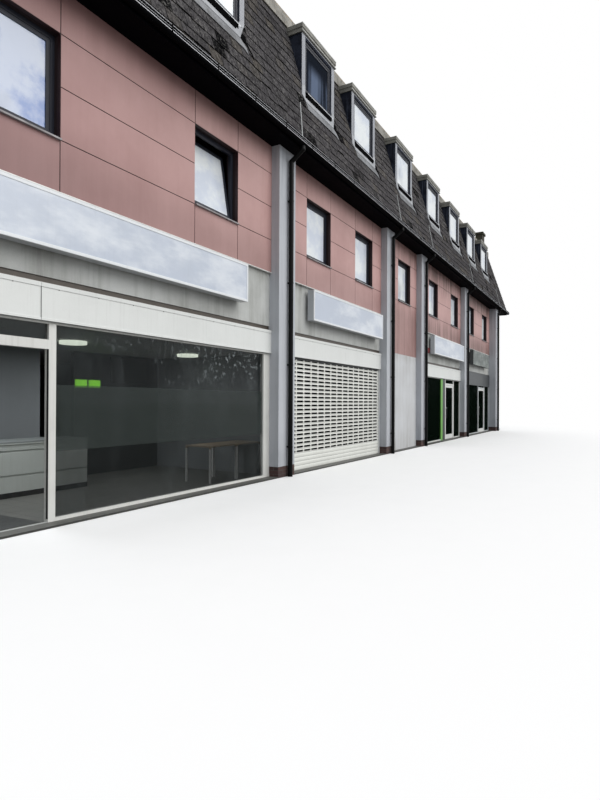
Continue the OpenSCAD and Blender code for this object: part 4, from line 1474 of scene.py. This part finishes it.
@dataclass
class Roof:
    """Slates, hip tiles and strips of the mansard.

    Names with hole give the room that slates leave round a dormer, names with slid the slates
    that have slipped out of line.
    """

    tile_w: float = 0.33
    tile_t: float = 0.013
    least_w: float = 0.02
    gauge: float = 0.235
    lap: float = 0.012
    joint: float = 0.012
    bed: float = 0.002
    rise_foot: float = 0.003
    rise_head: float = 0.004
    thick: Span = (0.8, 1.5)
    slip: Span = (-0.012, 0.008)
    slid: Span = (0.02, 0.05)
    slid_share: float = 0.05
    dark_share: float = 0.02
    post_w: float = 0.15
    front_y: float = 1.0
    sill_h: float = 0.1
    hole_side: float = 0.004
    hole_foot: float = 0.01
    hole_head: float = 0.005
    hip_w: float = 0.15
    hip_edge: float = 0.01
    hip_pitch: float = 0.22
    hip_length: float = 1.05
    hip_lap: float = 0.12
    hip_up: Span = (0.022, 0.012)
    strip_w: float = 0.022
    strip_x: float = 0.03
    strip_lean: float = 0.45
    strip_length: float = 1.17
    strip_out: Span = (0.014, 0.03)
    seed: int = 7

    def __post_init__(self) -> None:
        """Reads the slopes and the dormers from the frame."""
        front = solid_boxes("mansard_front")[0]
        end = solid_boxes("mansard_end")[0]
        deck = solid_boxes("roof_deck")[0]
        self.foot_x, self.foot_y, self.foot_z = front.high[0], front.low[1], front.low[2]
        self.rise = front.high[2] - self.foot_z
        self.run = end.high[0] - deck.high[0]
        self.length = math.hypot(self.rise, self.run)
        self.dormers = [box for box in solid_boxes("dormer_roofs")
                        if box.low[1] < STREET.mid_y]
        self.sills = [box for box in solid_boxes("dormer_bodies")
                      if box.low[1] < self.front_y and box.size(2) < self.sill_h]
        self.random = random.Random(self.seed)

    def on_slope(self, s: float, out: float) -> tuple[float, float]:
        """Gives the way in from the slope's foot and the height.

        Args:
            s: distance up the slope.
            out: distance out from it.

        Returns:
            The distance behind the foot, and z.
        """
        share = s / self.length
        return (self.run * share - out * self.rise / self.length,
                self.foot_z + self.rise * share + out * self.run / self.length)

    def point(self, side: Side, u: float, s: float, out: float) -> Point:
        """Gives a point on a slope.

        Args:
            side: the slope.
            u: the place along it, which is y on the end slope and x on the others.
            s: distance up the slope.
            out: distance out from it.

        Returns:
            The street point.
        """
        way, z = self.on_slope(s, out)
        if side is Side.END:
            return (self.foot_x - way, u, z)
        point = (u, self.foot_y + way, z)
        return point if side is Side.FRONT else mirrored(point)

    def sheet(self, build: Build, side: Side, outline: Sequence[Span], levels: Span) -> None:
        """Lays a thin closed sheet on a slope.

        Args:
            build: the piece that it joins.
            side: the slope.
            outline: its corners, as x and the way up the slope.
            levels: heights of its two faces over the slope.
        """
        points = [self.point(side, x, s, level) for level in levels for x, s in outline]
        count = len(outline)
        faces = [tuple(range(count)), tuple(range(2 * count - 1, count - 1, -1))]
        faces += [(k, (k + 1) % count, count + (k + 1) % count, count + k)
                  for k in range(count)]
        build.add(points, faces)

    def holes(self, z: float) -> list[Span]:
        """Lists the room that dormers take at a height.

        Args:
            z: the height.

        Returns:
            The x range of each.
        """
        side = self.post_w + self.hole_side
        return [(sill.low[0] - side, sill.high[0] + side)
                for sill, roof in zip(self.sills, self.dormers)
                if sill.low[2] - self.hole_foot < z < roof.high[2] + self.hole_head]

    def tile(self, build: Build, side: Side, across: Span, up: Span) -> None:
        """Adds one slate, a little out of line, with a tone of its own and painted shade on its
        edges.

        Args:
            build: the piece that it joins.
            side: the slope.
            across: where it starts and ends along the slope.
            up: where it starts and ends up the slope.
        """
        thick = self.tile_t * self.random.uniform(*self.thick)
        slip = self.random.uniform(*self.slip)
        if self.random.random() < self.slid_share:
            slip += self.random.uniform(*self.slid)
        tone = self.random.random() ** 0.8
        if self.random.random() < self.dark_share:
            tone = 0.0
        foot, head = up[0] + slip, up[1]
        ends = (across[0] + self.joint / 2, across[1] - self.joint / 2)
        levels = ((foot, self.bed), (foot, thick + self.rise_foot), (head, self.rise_head))
        points = [self.point(side, u, s, out) for s, out in levels for u in ends]
        build.add(points, [(2, 3, 5, 4)], tone)
        # The foot and the sides get tone 0, painted shade under the slate.
        build.add(points, [(0, 1, 3, 2), (0, 2, 4), (1, 5, 3)], 0.0)

    def course(self, number: int, low: float, high: float, holes: list[Span]
               ) -> Iterable[Span]:
        """Gives the slates of a course, cut at its ends and at holes.

        Args:
            number: the course's number, because each second one is shifted by half a slate.
            low, high: ends of the course.
            holes: what isn't covered.

        Yields:
            The ends of each slate.
        """
        start = -self.tile_w * (0.5 if number % 2 else 0.0)
        for n in range(int((high + self.tile_w) / self.tile_w) + 2):
            a, b = max(start + n * self.tile_w, low), min(start + (n + 1) * self.tile_w, high)
            parts = [(a, b)]
            for hole in holes:
                parts = [part for p, q in parts for part in
                         ((p, min(q, hole[0])), (max(p, hole[1]), q))]
            yield from (part for part in parts if part[1] - part[0] > self.least_w)

    def slope(self, side: Side) -> None:
        """Covers one slope with slates.

        Args:
            side: the slope.
        """
        build = Build()
        count = int(self.length / self.gauge)
        gauge = self.length / count
        for number in range(count):
            foot = number * gauge
            way, z = self.on_slope(foot + gauge / 2, 0.0)
            if side is Side.END:
                low, holes = self.foot_y + way, []
                high = 2 * STREET.mid_y - low
            else:
                low, high, holes = 0.0, self.foot_x - way, self.holes(z)
            up = (foot, min((number + 1) * gauge + self.lap, self.length))
            for across in self.course(number, low, high, holes):
                self.tile(build, side, across, up)
        build.piece(f"slates_{side.value}")

    def fold(self, share: float, up: float) -> list[Point]:
        """Gives one end of a folded tile on the front hip.

        Args:
            share: how far up the hip, from 0 to 1.
            up: height of its ridge over the slopes.

        Returns:
            Three points on top and three below.
        """
        way, z = self.on_slope(min(share, 1.0) * self.length, 0.0)
        x, y, wing, edge = self.foot_x - way, self.foot_y + way, self.hip_w / 2, self.hip_edge
        return [(x + edge, y + wing, z + up * 0.2), (x + up, y - up, z + up),
                (x - wing, y - edge, z + up * 0.2),
                (x + edge - up, y + wing, z + up * 0.1), (x, y, z + up * 0.3),
                (x - wing, y - edge + up, z + up * 0.1)]

    def hips(self) -> None:
        """Caps the two hips with folded tiles."""
        build = Build()
        count = int(self.length * self.hip_length / self.hip_pitch)
        for side in (Side.FRONT, Side.REAR):
            for n in range(count):
                tone = self.random.random()
                points = (self.fold(n / count, self.hip_up[0])
                          + self.fold((n + 1 + self.hip_lap) / count, self.hip_up[1]))
                if side is Side.REAR:
                    points = [mirrored(point) for point in points]
                build.add(points, FOLD_FACES, tone)
        build.piece("hip_tiles")

    def strips(self) -> None:
        """Lays a pale strip on the slates from each gutter outlet up to the right."""
        build = Build()
        for pipe in solid_boxes("downpipes"):
            x0 = pipe.middle[0] + self.strip_x - self.strip_w / 2
            x1 = x0 + self.strip_w
            outline = [(x0, 0.0), (x1, 0.0), (x1 + self.strip_lean, self.strip_length),
                       (x0 + self.strip_lean, self.strip_length)]
            self.sheet(build, Side.FRONT, outline, self.strip_out)
        build.piece("roof_strips")

    def make(self) -> None:
        """Makes the whole covering."""
        for side in Side:
            self.slope(side)
        self.hips()
        self.strips()


@dataclass
class Dormers:
    """Casings, sills, lead aprons and cornice lines of the dormers. Black boards and sheets below
    the sills are painted shadow, and the pale cornice lines are painted highlights.

    Pairs of places are measured from the edge that each board stands on. The lead's foot and
    top are distances up the slope.
    """

    roof: Roof
    board_edge: float = 0.003
    casing_y: Span = (0.031, 0.045)
    casing_foot: float = 0.06
    casing_side: float = 0.006
    head_z: Span = (-0.035, -0.002)
    line_y: Span = (-0.01, 0.004)
    line_z: Span = (-0.035, 0.012)
    line_short: float = 0.05
    # Painted shadow: the black board below each sill.
    sill_shadow_x: Span = (0.02, -0.31)
    sill_shadow_y: Span = (-0.036, 0.004)
    sill_shadow_low: float = 0.12
    # Pale lines of painted highlight at the cornice's lower and upper edges.
    highlight_side: float = 0.004
    drip_and_highlight_y: Span = (-0.006, 0.02)
    highlight_low_z: Span = (0.012, 0.034)
    highlight_high_z: Span = (-0.02, 0.006)
    lead_bed: float = 0.006
    lead_t: float = 0.03
    worn_t: float = 0.024
    open_t: float = 0.026
    lead_top: float = 1.9
    lead_foot: float = 1.38
    skirt_foot: float = 1.2

    def board(self, build: Build, side: Side, xs: Span, ys: Span, zs: Span) -> None:
        """Adds a board to the front or the rear dormers.

        Args:
            build: the piece that it joins.
            side: front or rear.
            xs, ys, zs: its ends along each axis, as they are at the front.
        """
        if side is Side.REAR:
            ys = tuple(2 * STREET.mid_y - y for y in ys)
        build.box(xs, ys, zs, self.board_edge)

    def casings(self, build: Build, side: Side, sill: Cuboid, roof: Cuboid) -> None:
        """Cases the two posts and the head.

        Args:
            build: the piece that they join.
            side: front or rear.
            sill, roof: the sill and the roof of the dormer.
        """
        wide, shift = self.roof.post_w, self.casing_side
        ys = past(roof.low[1], self.casing_y)
        head = past(roof.low[2], self.head_z)
        foot = sill.high[2] + self.casing_foot
        for x in (sill.low[0] - wide - shift, sill.high[0] + shift):
            self.board(build, side, (x, x + wide), ys, (foot, head[1]))
        self.board(build, side, (sill.low[0], sill.high[0]), ys, head)

    def sill(self, line: Build, skirt: Build, side: Side, sill: Cuboid) -> None:
        """Adds the white line on a sill and the black board of painted shadow below it.

        Args:
            line, skirt: the pieces that they join; skirt takes the painted shadow.
            side: front or rear.
            sill: the dormer's sill.
        """
        (x0, y, foot), (x1, _, top) = sill.low, sill.high
        self.board(line, side, (x0, x1 - self.line_short), past(y, self.line_y),
                   past(top, self.line_z))
        wide = self.roof.post_w
        # Painted shadow: a black board under the sill.
        self.board(skirt, side, (x0 - wide + self.sill_shadow_x[0], x1 + wide + self.sill_shadow_x[1]),
                   past(y, self.sill_shadow_y), (foot - self.sill_shadow_low, top + self.line_z[0]))

    def drips(self, build: Build, side: Side, roof: Cuboid) -> None:
        """Adds the two pale lines of painted highlight along the edge of a dormer's roof.

        Args:
            build: the piece that they join.
            side: front or rear.
            roof: the dormer's roof.
        """
        xs = (roof.low[0] - self.highlight_side, roof.high[0] + self.highlight_side)
        ys = past(roof.low[1], self.drip_and_highlight_y)
        # Painted highlight at the cornice's lower and upper edge.
        for z, span in ((roof.low[2], self.highlight_low_z), (roof.high[2], self.highlight_high_z)):
            self.board(build, side, xs, ys, past(z, span))

    def leads(self, lead: Build, worn: Build, dark: Build, side: Side, posts: Span) -> None:
        """Lays the lead round a dormer's foot, its worn skirt and a dark sheet of painted shadow.

        Args:
            lead, worn, dark: the pieces that they join.
            side: front or rear.
            posts: the outer edges of the dormer's posts.
        """
        (x0, x1), top, low, foot = posts, self.lead_top, self.lead_foot, self.skirt_foot
        lay, bed = self.roof.sheet, self.lead_bed
        lay(lead, side, [(x0 - 0.01, top), (x0 - 0.2, low + 0.14), (x0 - 0.08, low),
                         (x1 - 0.33, low), (x1, top), (x1 - 0.13, top),
                         (x1 - 0.42, low + 0.12), (x0 - 0.06, low + 0.12),
                         (x0 + 0.13, top)], (bed, self.lead_t))
        lay(worn, side, [(x0 - 0.08, low + 0.01), (x0 - 0.05, foot), (x1 - 0.26, foot),
                         (x1 - 0.14, foot - 0.07), (x1 - 0.17, foot + 0.06),
                         (x1 - 0.33, low + 0.01)], (bed, self.worn_t))
        # Painted shadow: a dark sheet at the dormer's right foot.
        lay(dark, side, [(x1 - 0.28, low + 0.18), (x1 - 0.09, low + 0.18),
                         (x1 - 0.11, low + 0.04), (x1 + 0.05, foot - 0.02),
                         (x1 + 0.02, foot - 0.05), (x1 - 0.13, low - 0.02),
                         (x1 - 0.29, low + 0.02)], (bed, self.open_t))

    def make(self) -> None:
        """Dresses every dormer."""
        posts, lines, dark, lead, worn, drips = (Build() for _ in range(6))
        wide = self.roof.post_w
        for sill, roof in zip(self.roof.sills, self.roof.dormers):
            for side in (Side.FRONT, Side.REAR):
                self.casings(posts, side, sill, roof)
                self.sill(lines, dark, side, sill)
                self.drips(drips, side, roof)
                self.leads(lead, worn, dark, side, (sill.low[0] - wide, sill.high[0] + wide))
        posts.piece("dormer_casings")
        lines.piece("sill_lines")
        # The black boards and dark sheets of painted shadow.
        dark.piece("sill_shadows")
        lead.piece("lead_aprons")
        worn.piece("lead_skirts")
        # The cornices' painted highlights.
        drips.piece("painted_cornice_highlights")


@dataclass
class Eaves:
    """Lips and brackets of the gutters, and pale bars of painted highlight along them.

    Heights are measured from the top of the CAD gutter, and out and in from its outer edge.
    """

    lip_z: Span = (-0.006, 0.087)
    lip_out: float = 0.004
    # Heights of the pale bars of painted highlight.
    highlight_z: tuple[Span, ...] = ((-0.006, 0.004), (0.034, 0.039), (0.08, 0.086))
    highlight_out: float = 0.007
    seat: float = 0.002
    edge: float = 0.001
    pitch: float = 1.05
    first: float = 0.16
    bracket_w: float = 0.03
    bracket_z: Span = (-0.01, 0.089)
    bracket_out: float = 0.009
    arm_in: float = 0.12
    arm_z: Span = (0.081, 0.087)
    left_x: float = 1.0

    def long_run(self, fittings: Build, highlight_bars: Build, run: Cuboid, way: float) -> None:
        """Adds lip, pale bars of painted highlight and brackets to the front or the rear gutter.

        Args:
            fittings, highlight_bars: the pieces that they join.
            run: the gutter.
            way: -1 for the front and 1 for the rear.
        """
        outer = run.low[1] if way < 0 else run.high[1]
        z = run.high[2]
        xs, inner = (run.low[0], run.high[0]), outer - way * self.seat
        fittings.box(xs, (outer + way * self.lip_out, inner), past(z, self.lip_z), self.edge)
        # Painted highlight: pale bars along the gutter.
        for span in self.highlight_z:
            highlight_bars.box(xs, (outer + way * self.highlight_out, inner), past(z, span), self.edge)
        for n in range(int(run.size(0) / self.pitch)):
            x = run.low[0] + self.first + n * self.pitch
            xs = (x, x + self.bracket_w)
            fittings.box(xs, (outer + way * self.bracket_out, inner), past(z, self.bracket_z))
            fittings.box(xs, (outer, outer - way * self.arm_in), past(z, self.arm_z))

    def make(self) -> None:
        """Dresses the front, the rear and the end gutter."""
        fittings, highlight_bars = Build(), Build()
        boxes = solid_boxes("gutters")
        front, rear = sorted((box for box in boxes if box.low[0] < self.left_x),
                             key=lambda box: box.low[1])
        end = next(box for box in boxes if box.low[0] > self.left_x)
        self.long_run(fittings, highlight_bars, front, -1.0)
        self.long_run(fittings, highlight_bars, rear, 1.0)
        x, ys, z = end.high[0], (end.low[1], end.high[1]), end.high[2]
        fittings.box((x - self.seat, x + self.lip_out), ys, past(z, self.lip_z))
        # Painted highlight: pale bars along the end gutter.
        for span in self.highlight_z:
            highlight_bars.box((x - self.seat, x + self.highlight_out), ys, past(z, span))
        fittings.piece("gutter_fittings")
        highlight_bars.piece("gutter_beads")


# Walls


@dataclass
class Walls:
    """Drip flashings, panel joints, fascia trims with a painted shadow line below, and sign trims
    of the walls.

    Pairs named y are measured from the face of the box, and pairs named z from its foot or,
    for the flange, from its top. first_floor_z, alarm_y, lamp_y and end_y are street places.
    """

    first_floor_z: Span = (4.0, 6.0)
    drip_and_highlight_y: Span = (-0.018, 0.03)
    drip_z: Span = (-0.012, 0.004)
    fascia_h: float = 0.461
    flange_y: Span = (-0.008, 0.01)
    flange_z: Span = (-0.052, 0.004)
    foot_y: Span = (-0.006, 0.01)
    foot_z: Span = (-0.002, 0.03)
    shadow_y: Span = (-0.004, 0.02)
    shadow_z: Span = (-0.008, -0.001)
    seam: Span = (-0.002, 0.002)
    seam_y: Span = (-0.009, 0.01)
    long_fascia: float = 6.0
    fascia_joint: float = 2.097
    screw_first: float = 0.5
    screw_pitch: float = 0.615
    screw_r: float = 0.005
    screw_y: Span = (-0.011, 0.0)
    screw_down: float = 0.056
    screw_edge: float = 0.003
    sign_frame: float = 0.038
    sign_y: Span = (-0.006, 0.02)
    sign_over: float = 0.003
    alarm_gap: float = 0.02
    alarm_size: Span = (0.16, 0.2)
    alarm_y: Span = (0.19, 0.235)
    alarm_edge: float = 0.02
    lamp_in: float = 0.05
    lamp_y: Span = (0.172, 0.2)
    lamp_edge: float = 0.012
    joint_r: float = 0.004
    joint_out: float = 0.0015
    joint_edge: float = 0.001
    window_h: float = 1.2
    window_w: float = 1.0
    wall_top: float = 6.77
    wall_end: float = 32.46
    end_y: Span = (0.45, 8.93)
    end_foot: float = 4.183
    end_panels: int = 7

    def flashings(self) -> None:
        """Runs a thin pale drip along the foot of the cladding."""
        build = Build()
        for panel in solid_boxes("front_cladding"):
            (x0, y, z), x1 = panel.low, panel.high[0]
            if z > self.first_floor_z[0]:
                build.box((x0, x1), past(y, self.drip_and_highlight_y), past(z, self.drip_z))
        build.piece("cladding_drips")

    def fascias(self) -> None:
        """Adds flanges, joints, screws and a painted shadow line under each fascia box."""
        trims, joints = Build(), Build()
        for box in solid_boxes("fascia_boxes"):
            (x0, y, foot), x1 = box.low, box.high[0]
            top = foot + self.fascia_h
            trims.box((x0, x1), past(y, self.flange_y), past(top, self.flange_z))
            trims.box((x0, x1), past(y, self.foot_y), past(foot, self.foot_z))
            if box.size(0) > self.long_fascia:
                x = x0 + self.fascia_joint
                joints.box(past(x, self.seam), past(y, self.seam_y), (foot, top))
            for n in range(int(box.size(0) / self.screw_pitch)):
                x, z = x0 + self.screw_first + n * self.screw_pitch, top - self.screw_down
                joints.box((x - self.screw_r, x + self.screw_r), past(y, self.screw_y),
                           (z - self.screw_r, z + self.screw_r), self.screw_edge)
            # Painted shadow: a dark line under the fascia box.
            joints.box((x0, x1), past(y, self.shadow_y), past(foot, self.shadow_z))
        trims.piece("fascia_trims")
        joints.piece("fascia_joints_and_shadow")

    def signs(self) -> None:
        """Frames the faces of the pale signs."""
        build = Build()
        wide, over = self.sign_frame, self.sign_over
        for box in solid_boxes("sign_boxes"):
            (x0, y, z0), (x1, _, z1) = box.low, box.high
            xs, ys = (x0 - over, x1 + over), past(y, self.sign_y)
            build.box(xs, ys, (z1 - wide, z1 + over))
            build.box(xs, ys, (z0 - over, z0 + wide))
            for x in (x0 - over, x1 - wide + over):
                build.box((x, x + wide), ys, (z0 + wide, z1 - wide))
        build.piece("sign_trims")

    def alarm(self) -> None:
        """Adds the bare alarm box with its lamp at the left of the last sign."""
        build = Build()
        sign = solid_boxes("sign_boxes")[-1]
        x, z, inset = sign.low[0] - self.alarm_gap, sign.low[2] + self.alarm_gap, self.lamp_in
        x0, z1 = x - self.alarm_size[0], z + self.alarm_size[1]
        build.box((x0, x), self.alarm_y, (z, z1), self.alarm_edge)
        build.box((x0 + inset, x - inset), self.lamp_y, (z + inset, z1 - inset),
                  self.lamp_edge)
        build.piece("alarm_box")

    def rear_joints(self) -> None:
        """Repeats the panel joints on the rear and the end walls."""
        build = Build()
        rear = solid_boxes("rear_upper_wall")[0]
        frames = [box for box in solid_boxes("window_frames") if box.low[1] > STREET.mid_y
                  and self.first_floor_z[0] < box.low[2] < self.first_floor_z[1]
                  and box.size(2) > self.window_h and box.size(0) > self.window_w]
        head = max(box.high[2] for box in frames)
        sill = min(box.low[2] for box in frames)
        edges = [x for box in frames for x in (box.low[0], box.high[0])]
        rows = [(z - self.joint_r, z + self.joint_r) for z in (sill, (sill + head) / 2, head)]
        ys = (rear.high[1] - self.joint_r, rear.high[1] + self.joint_out)
        for x in edges:
            for zs in ((rear.low[2], sill), (head, self.wall_top)):
                build.box((x - self.joint_r, x + self.joint_r), ys, zs, self.joint_edge)
        ends = [0.0, *edges, self.wall_end]
        for zs in rows:
            for xs in zip(ends[::2], ends[1::2]):
                build.box(xs, ys, zs, self.joint_edge)
        x = solid_boxes("right_end_wall")[0].high[0]
        xs = (x - self.joint_r, x + self.joint_out)
        for zs in rows:
            build.box(xs, self.end_y, zs, self.joint_edge)
        low, high = self.end_y
        for n in range(1, self.end_panels):
            y = low + (high - low) * n / self.end_panels
            build.box(xs, (y - self.joint_r, y + self.joint_r), (self.end_foot, self.wall_top),
                      self.joint_edge)
        build.piece("rear_panel_joints")

    def make(self) -> None:
        """Adds all the wall details."""
        self.flashings()
        self.fascias()
        self.signs()
        self.alarm()
        self.rear_joints()


Bar = tuple[Span, Span, Span, float]


@dataclass
class Interior:
    """What shows through the glass of the wide shop.

    A bar is its ends along each axis and its chamfer. Places on the back wall are given as x
    and z, with the depth in front of it.
    """

    back_gap: float = 0.55
    screen: tuple[Span, Span] = ((6.68, 7.69), (1.95, 2.5))
    screen_t: float = 0.06
    screen_edge: float = 0.01
    shelf: tuple[Span, Span] = ((7.24, 8.1), (1.78, 1.86))
    shelf_t: float = 0.16
    display_x: Span = (5.8, 6.13)
    display_z: Span = (1.82, 1.98)
    display_w: float = 0.27
    display_t: float = 0.05
    edge: float = 0.006
    # Painted shadow: a dark strip along the counter's foot.
    counter_foot_shadow: Bar = ((1.34, 5.1), (2.246, 2.252), (0.026, 0.11), 0.001)
    mat: Bar = ((1.95, 2.84), (0.32, 1.62), (0.0255, 0.0295), 0.001)
    door_seal: Bar = ((2.8755, 2.878), (0.224, 0.26), (0.065, 2.19), 0.0005)
    threshold: Bar = ((1.818, 2.878), (0.222, 0.262), (0.0255, 0.0295), 0.001)
    shade_y: Span = (-0.004, -0.001)
    shade_h: float = 0.047
    thin_edge: float = 0.0005
    film_z: Span = (0.9, 1.75)
    film_side: float = 0.002
    film_y: Span = (0.001, 0.003)
    wide_shop_x: float = 8.0
    low_pane_z: float = 0.5

    def dark(self, back: float) -> None:
        """Adds the screen, the shelf, the mat, the door seal and dark strips of painted shadow at
        the counter's foot and the shutter's head.

        Args:
            back: the face of the back wall.
        """
        build = Build()
        build.box(self.screen[0], (back - self.screen_t, back), self.screen[1],
                  self.screen_edge)
        build.box(self.shelf[0], (back - self.shelf_t, back), self.shelf[1], self.edge)
        for bar in (self.counter_foot_shadow, self.mat, self.door_seal):
            build.box(*bar)
        shutter = solid_boxes("roller_shutter")[0]
        (x0, y, _), (x1, _, top) = shutter.low, shutter.high
        # Painted shadow: a dark strip at the shutter's head.
        build.box((x0, x1), past(y, self.shade_y), (top - self.shade_h, top), self.thin_edge)
        build.piece("dark_trims_and_shadows")

    def displays(self, back: float) -> None:
        """Adds the lit displays.

        Args:
            back: the face of the back wall.
        """
        build = Build()
        for x in self.display_x:
            build.box((x, x + self.display_w), (back - self.display_t, back), self.display_z,
                      self.edge)
        build.piece("price_displays")

    def film(self) -> None:
        """Lays frosted film inside the low panes of the wide shop."""
        build = Build()
        for pane in solid_boxes("shopfront_glass"):
            if pane.low[0] < self.wide_shop_x and pane.low[2] < self.low_pane_z:
                build.box((pane.low[0] + self.film_side, pane.high[0] - self.film_side),
                          past(pane.high[1], self.film_y), self.film_z, self.thin_edge)
        build.piece("frosted_film")

    def make(self) -> None:
        """Adds all that shows inside."""
        back = solid_boxes("shop_counter")[0].high[1] + self.back_gap
        self.dark(back)
        build = Build()
        build.box(*self.threshold)
        build.piece("threshold")
        self.displays(back)
        self.film()


# Studio


@dataclass(frozen=True)
class Shot:
    """The camera matched to the photograph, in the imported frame.

    The focal length is in pixels of the photograph, and the angles are in radians.
    """

    place: Point = (-18.025, -10.6135, 1.5405)
    yaw: float = 0.5223
    pitch: float = 0.0041
    roll: float = -0.0045
    focal: float = 548.9222
    long_side: float = 800.0
    sensor: float = 36.0
    clip_end: float = 500.0

    def make(self) -> None:
        """Sets the scene's camera."""
        forward0 = Vector((math.cos(self.yaw), math.sin(self.yaw), 0))
        right0 = Vector((math.sin(self.yaw), -math.cos(self.yaw), 0))
        up = Vector((0, 0, 1))
        forward = forward0 * math.cos(self.pitch) + up * math.sin(self.pitch)
        above = up * math.cos(self.pitch) - forward0 * math.sin(self.pitch)
        right = right0 * math.cos(self.roll) - above * math.sin(self.roll)
        top = right0 * math.sin(self.roll) + above * math.cos(self.roll)
        data = bpy.data.cameras.new("camera")
        data.sensor_fit = "AUTO"
        data.sensor_width = self.sensor
        data.lens = self.focal / self.long_side * self.sensor
        data.clip_end = self.clip_end
        camera = show("camera", data)
        columns = Matrix((right, top, -forward)).transposed().to_4x4()
        camera.matrix_world = Matrix.Translation(self.place) @ columns
        bpy.context.scene.camera = camera


@dataclass(frozen=True)
class Studio:
    """White surroundings, one broad soft light, lamps in the wide shop and a pale floor."""

    white: Colour = (1.0, 1.0, 1.0, 1.0)
    world: float = 0.82
    world_tint: Colour = (0.94, 0.97, 1.0, 1.0)
    sun: float = 2.0
    sun_tint: Point = (1.0, 0.985, 0.96)
    sun_angle: float = 60.0
    sun_from: Point = (0.25, -0.8, 0.75)
    room: float = 42.0
    room_tint: Point = (0.93, 0.97, 1.0)
    room_size: float = 0.9
    room_places: tuple[Point, ...] = ((3.2, 1.7, 2.44), (6.1, 2.0, 2.44))
    floor: Colour = (0.86, 0.86, 0.86, 1.0)
    floor_size: float = 400.0
    floor_z: float = -0.002
    bounce: Colour = (0.24, 0.235, 0.225, 1.0)
    fade: Span = (7.0, 15.0)
    fade_shape: float = 1.9

    def surroundings(self) -> None:
        """Makes the world: white to look at, softer as a light."""
        world = bpy.data.worlds.new("world")
        bpy.context.scene.world = world
        graph = Graph(world, "ShaderNodeOutputWorld")
        camera = graph.node("ShaderNodeLightPath")
        shown, light = (graph.node("ShaderNodeBackground", None, {"Color": tint, "Strength": power})
                        for tint, power in ((self.white, 1.0), (self.world_tint, self.world)))
        graph.finish(graph.blend(camera, light, shown))

    def lamp(self, name: str, kind: str, power: float, tint: Point) -> bpy.types.Object:
        """Adds a lamp.

        Args:
            name: its name.
            kind: its type.
            power: its energy.
            tint: its colour.

        Returns:
            The lamp's object.
        """
        data = bpy.data.lights.new(name, kind)
        data.energy = power
        data.color = tint
        return show(name, data)

    def light(self) -> None:
        """Adds the broad light from the front right."""
        lamp = self.lamp("soft_sun", "SUN", self.sun, self.sun_tint)
        lamp.data.angle = math.radians(self.sun_angle)
        lamp.rotation_euler = Vector(self.sun_from).to_track_quat("Z", "Y").to_euler()

    def rooms(self) -> None:
        """Lights the wide shop from its ceiling."""
        for number, place in enumerate(self.room_places):
            lamp = self.lamp(f"room_light_{number}", "AREA", self.room, self.room_tint)
            lamp.data.shape = "DISK"
            lamp.data.size = self.room_size
            lamp.location = STREET.point(*place)
            lamp.visible_camera = False

    def ground(self) -> None:
        """Lays the pale floor, which turns white away from the building."""
        material = bpy.data.materials.new("studio_floor")
        graph = Graph(material)
        x, y, _ = graph.axes(graph.place())
        away = ((x / self.fade_shape).power(2.0) + y.power(2.0)).power(0.5)
        camera = graph.node("ShaderNodeLightPath")
        white = graph.node("ShaderNodeEmission", None, {"Color": self.white})
        speck = graph.noise(2.0, 3.0, 0.6)
        seen = graph.mix(camera, self.bounce, self.floor)
        face = graph.principled(base_color=graph.shade(seen, 0.98 + speck * 0.04),
                                roughness=0.9)
        graph.finish(graph.blend(away.step(*self.fade) * camera, face, white))
        half = self.floor_size / 2
        mesh = bpy.data.meshes.new("studio_floor")
        mesh.from_pydata([(-half, -half, 0), (half, -half, 0), (half, half, 0),
                          (-half, half, 0)], [], [(0, 1, 2, 3)])
        mesh.materials.append(material)
        floor = show("studio_floor", mesh)
        floor.location.z = self.floor_z

    def make(self) -> None:
        """Sets up the whole studio."""
        self.surroundings()
        self.light()
        self.ground()
        self.rooms()
        bpy.context.scene.view_settings.view_transform = "Standard"


def main() -> None:
    """Dresses the frame, adds the pieces and sets the studio."""
    Shot().make()
    Studio().make()
    dress_frame()
    roof = Roof()
    for part in (roof, Dormers(roof), Eaves(), Walls(), Interior()):
        part.make()


if __name__ == "__main__":
    main()
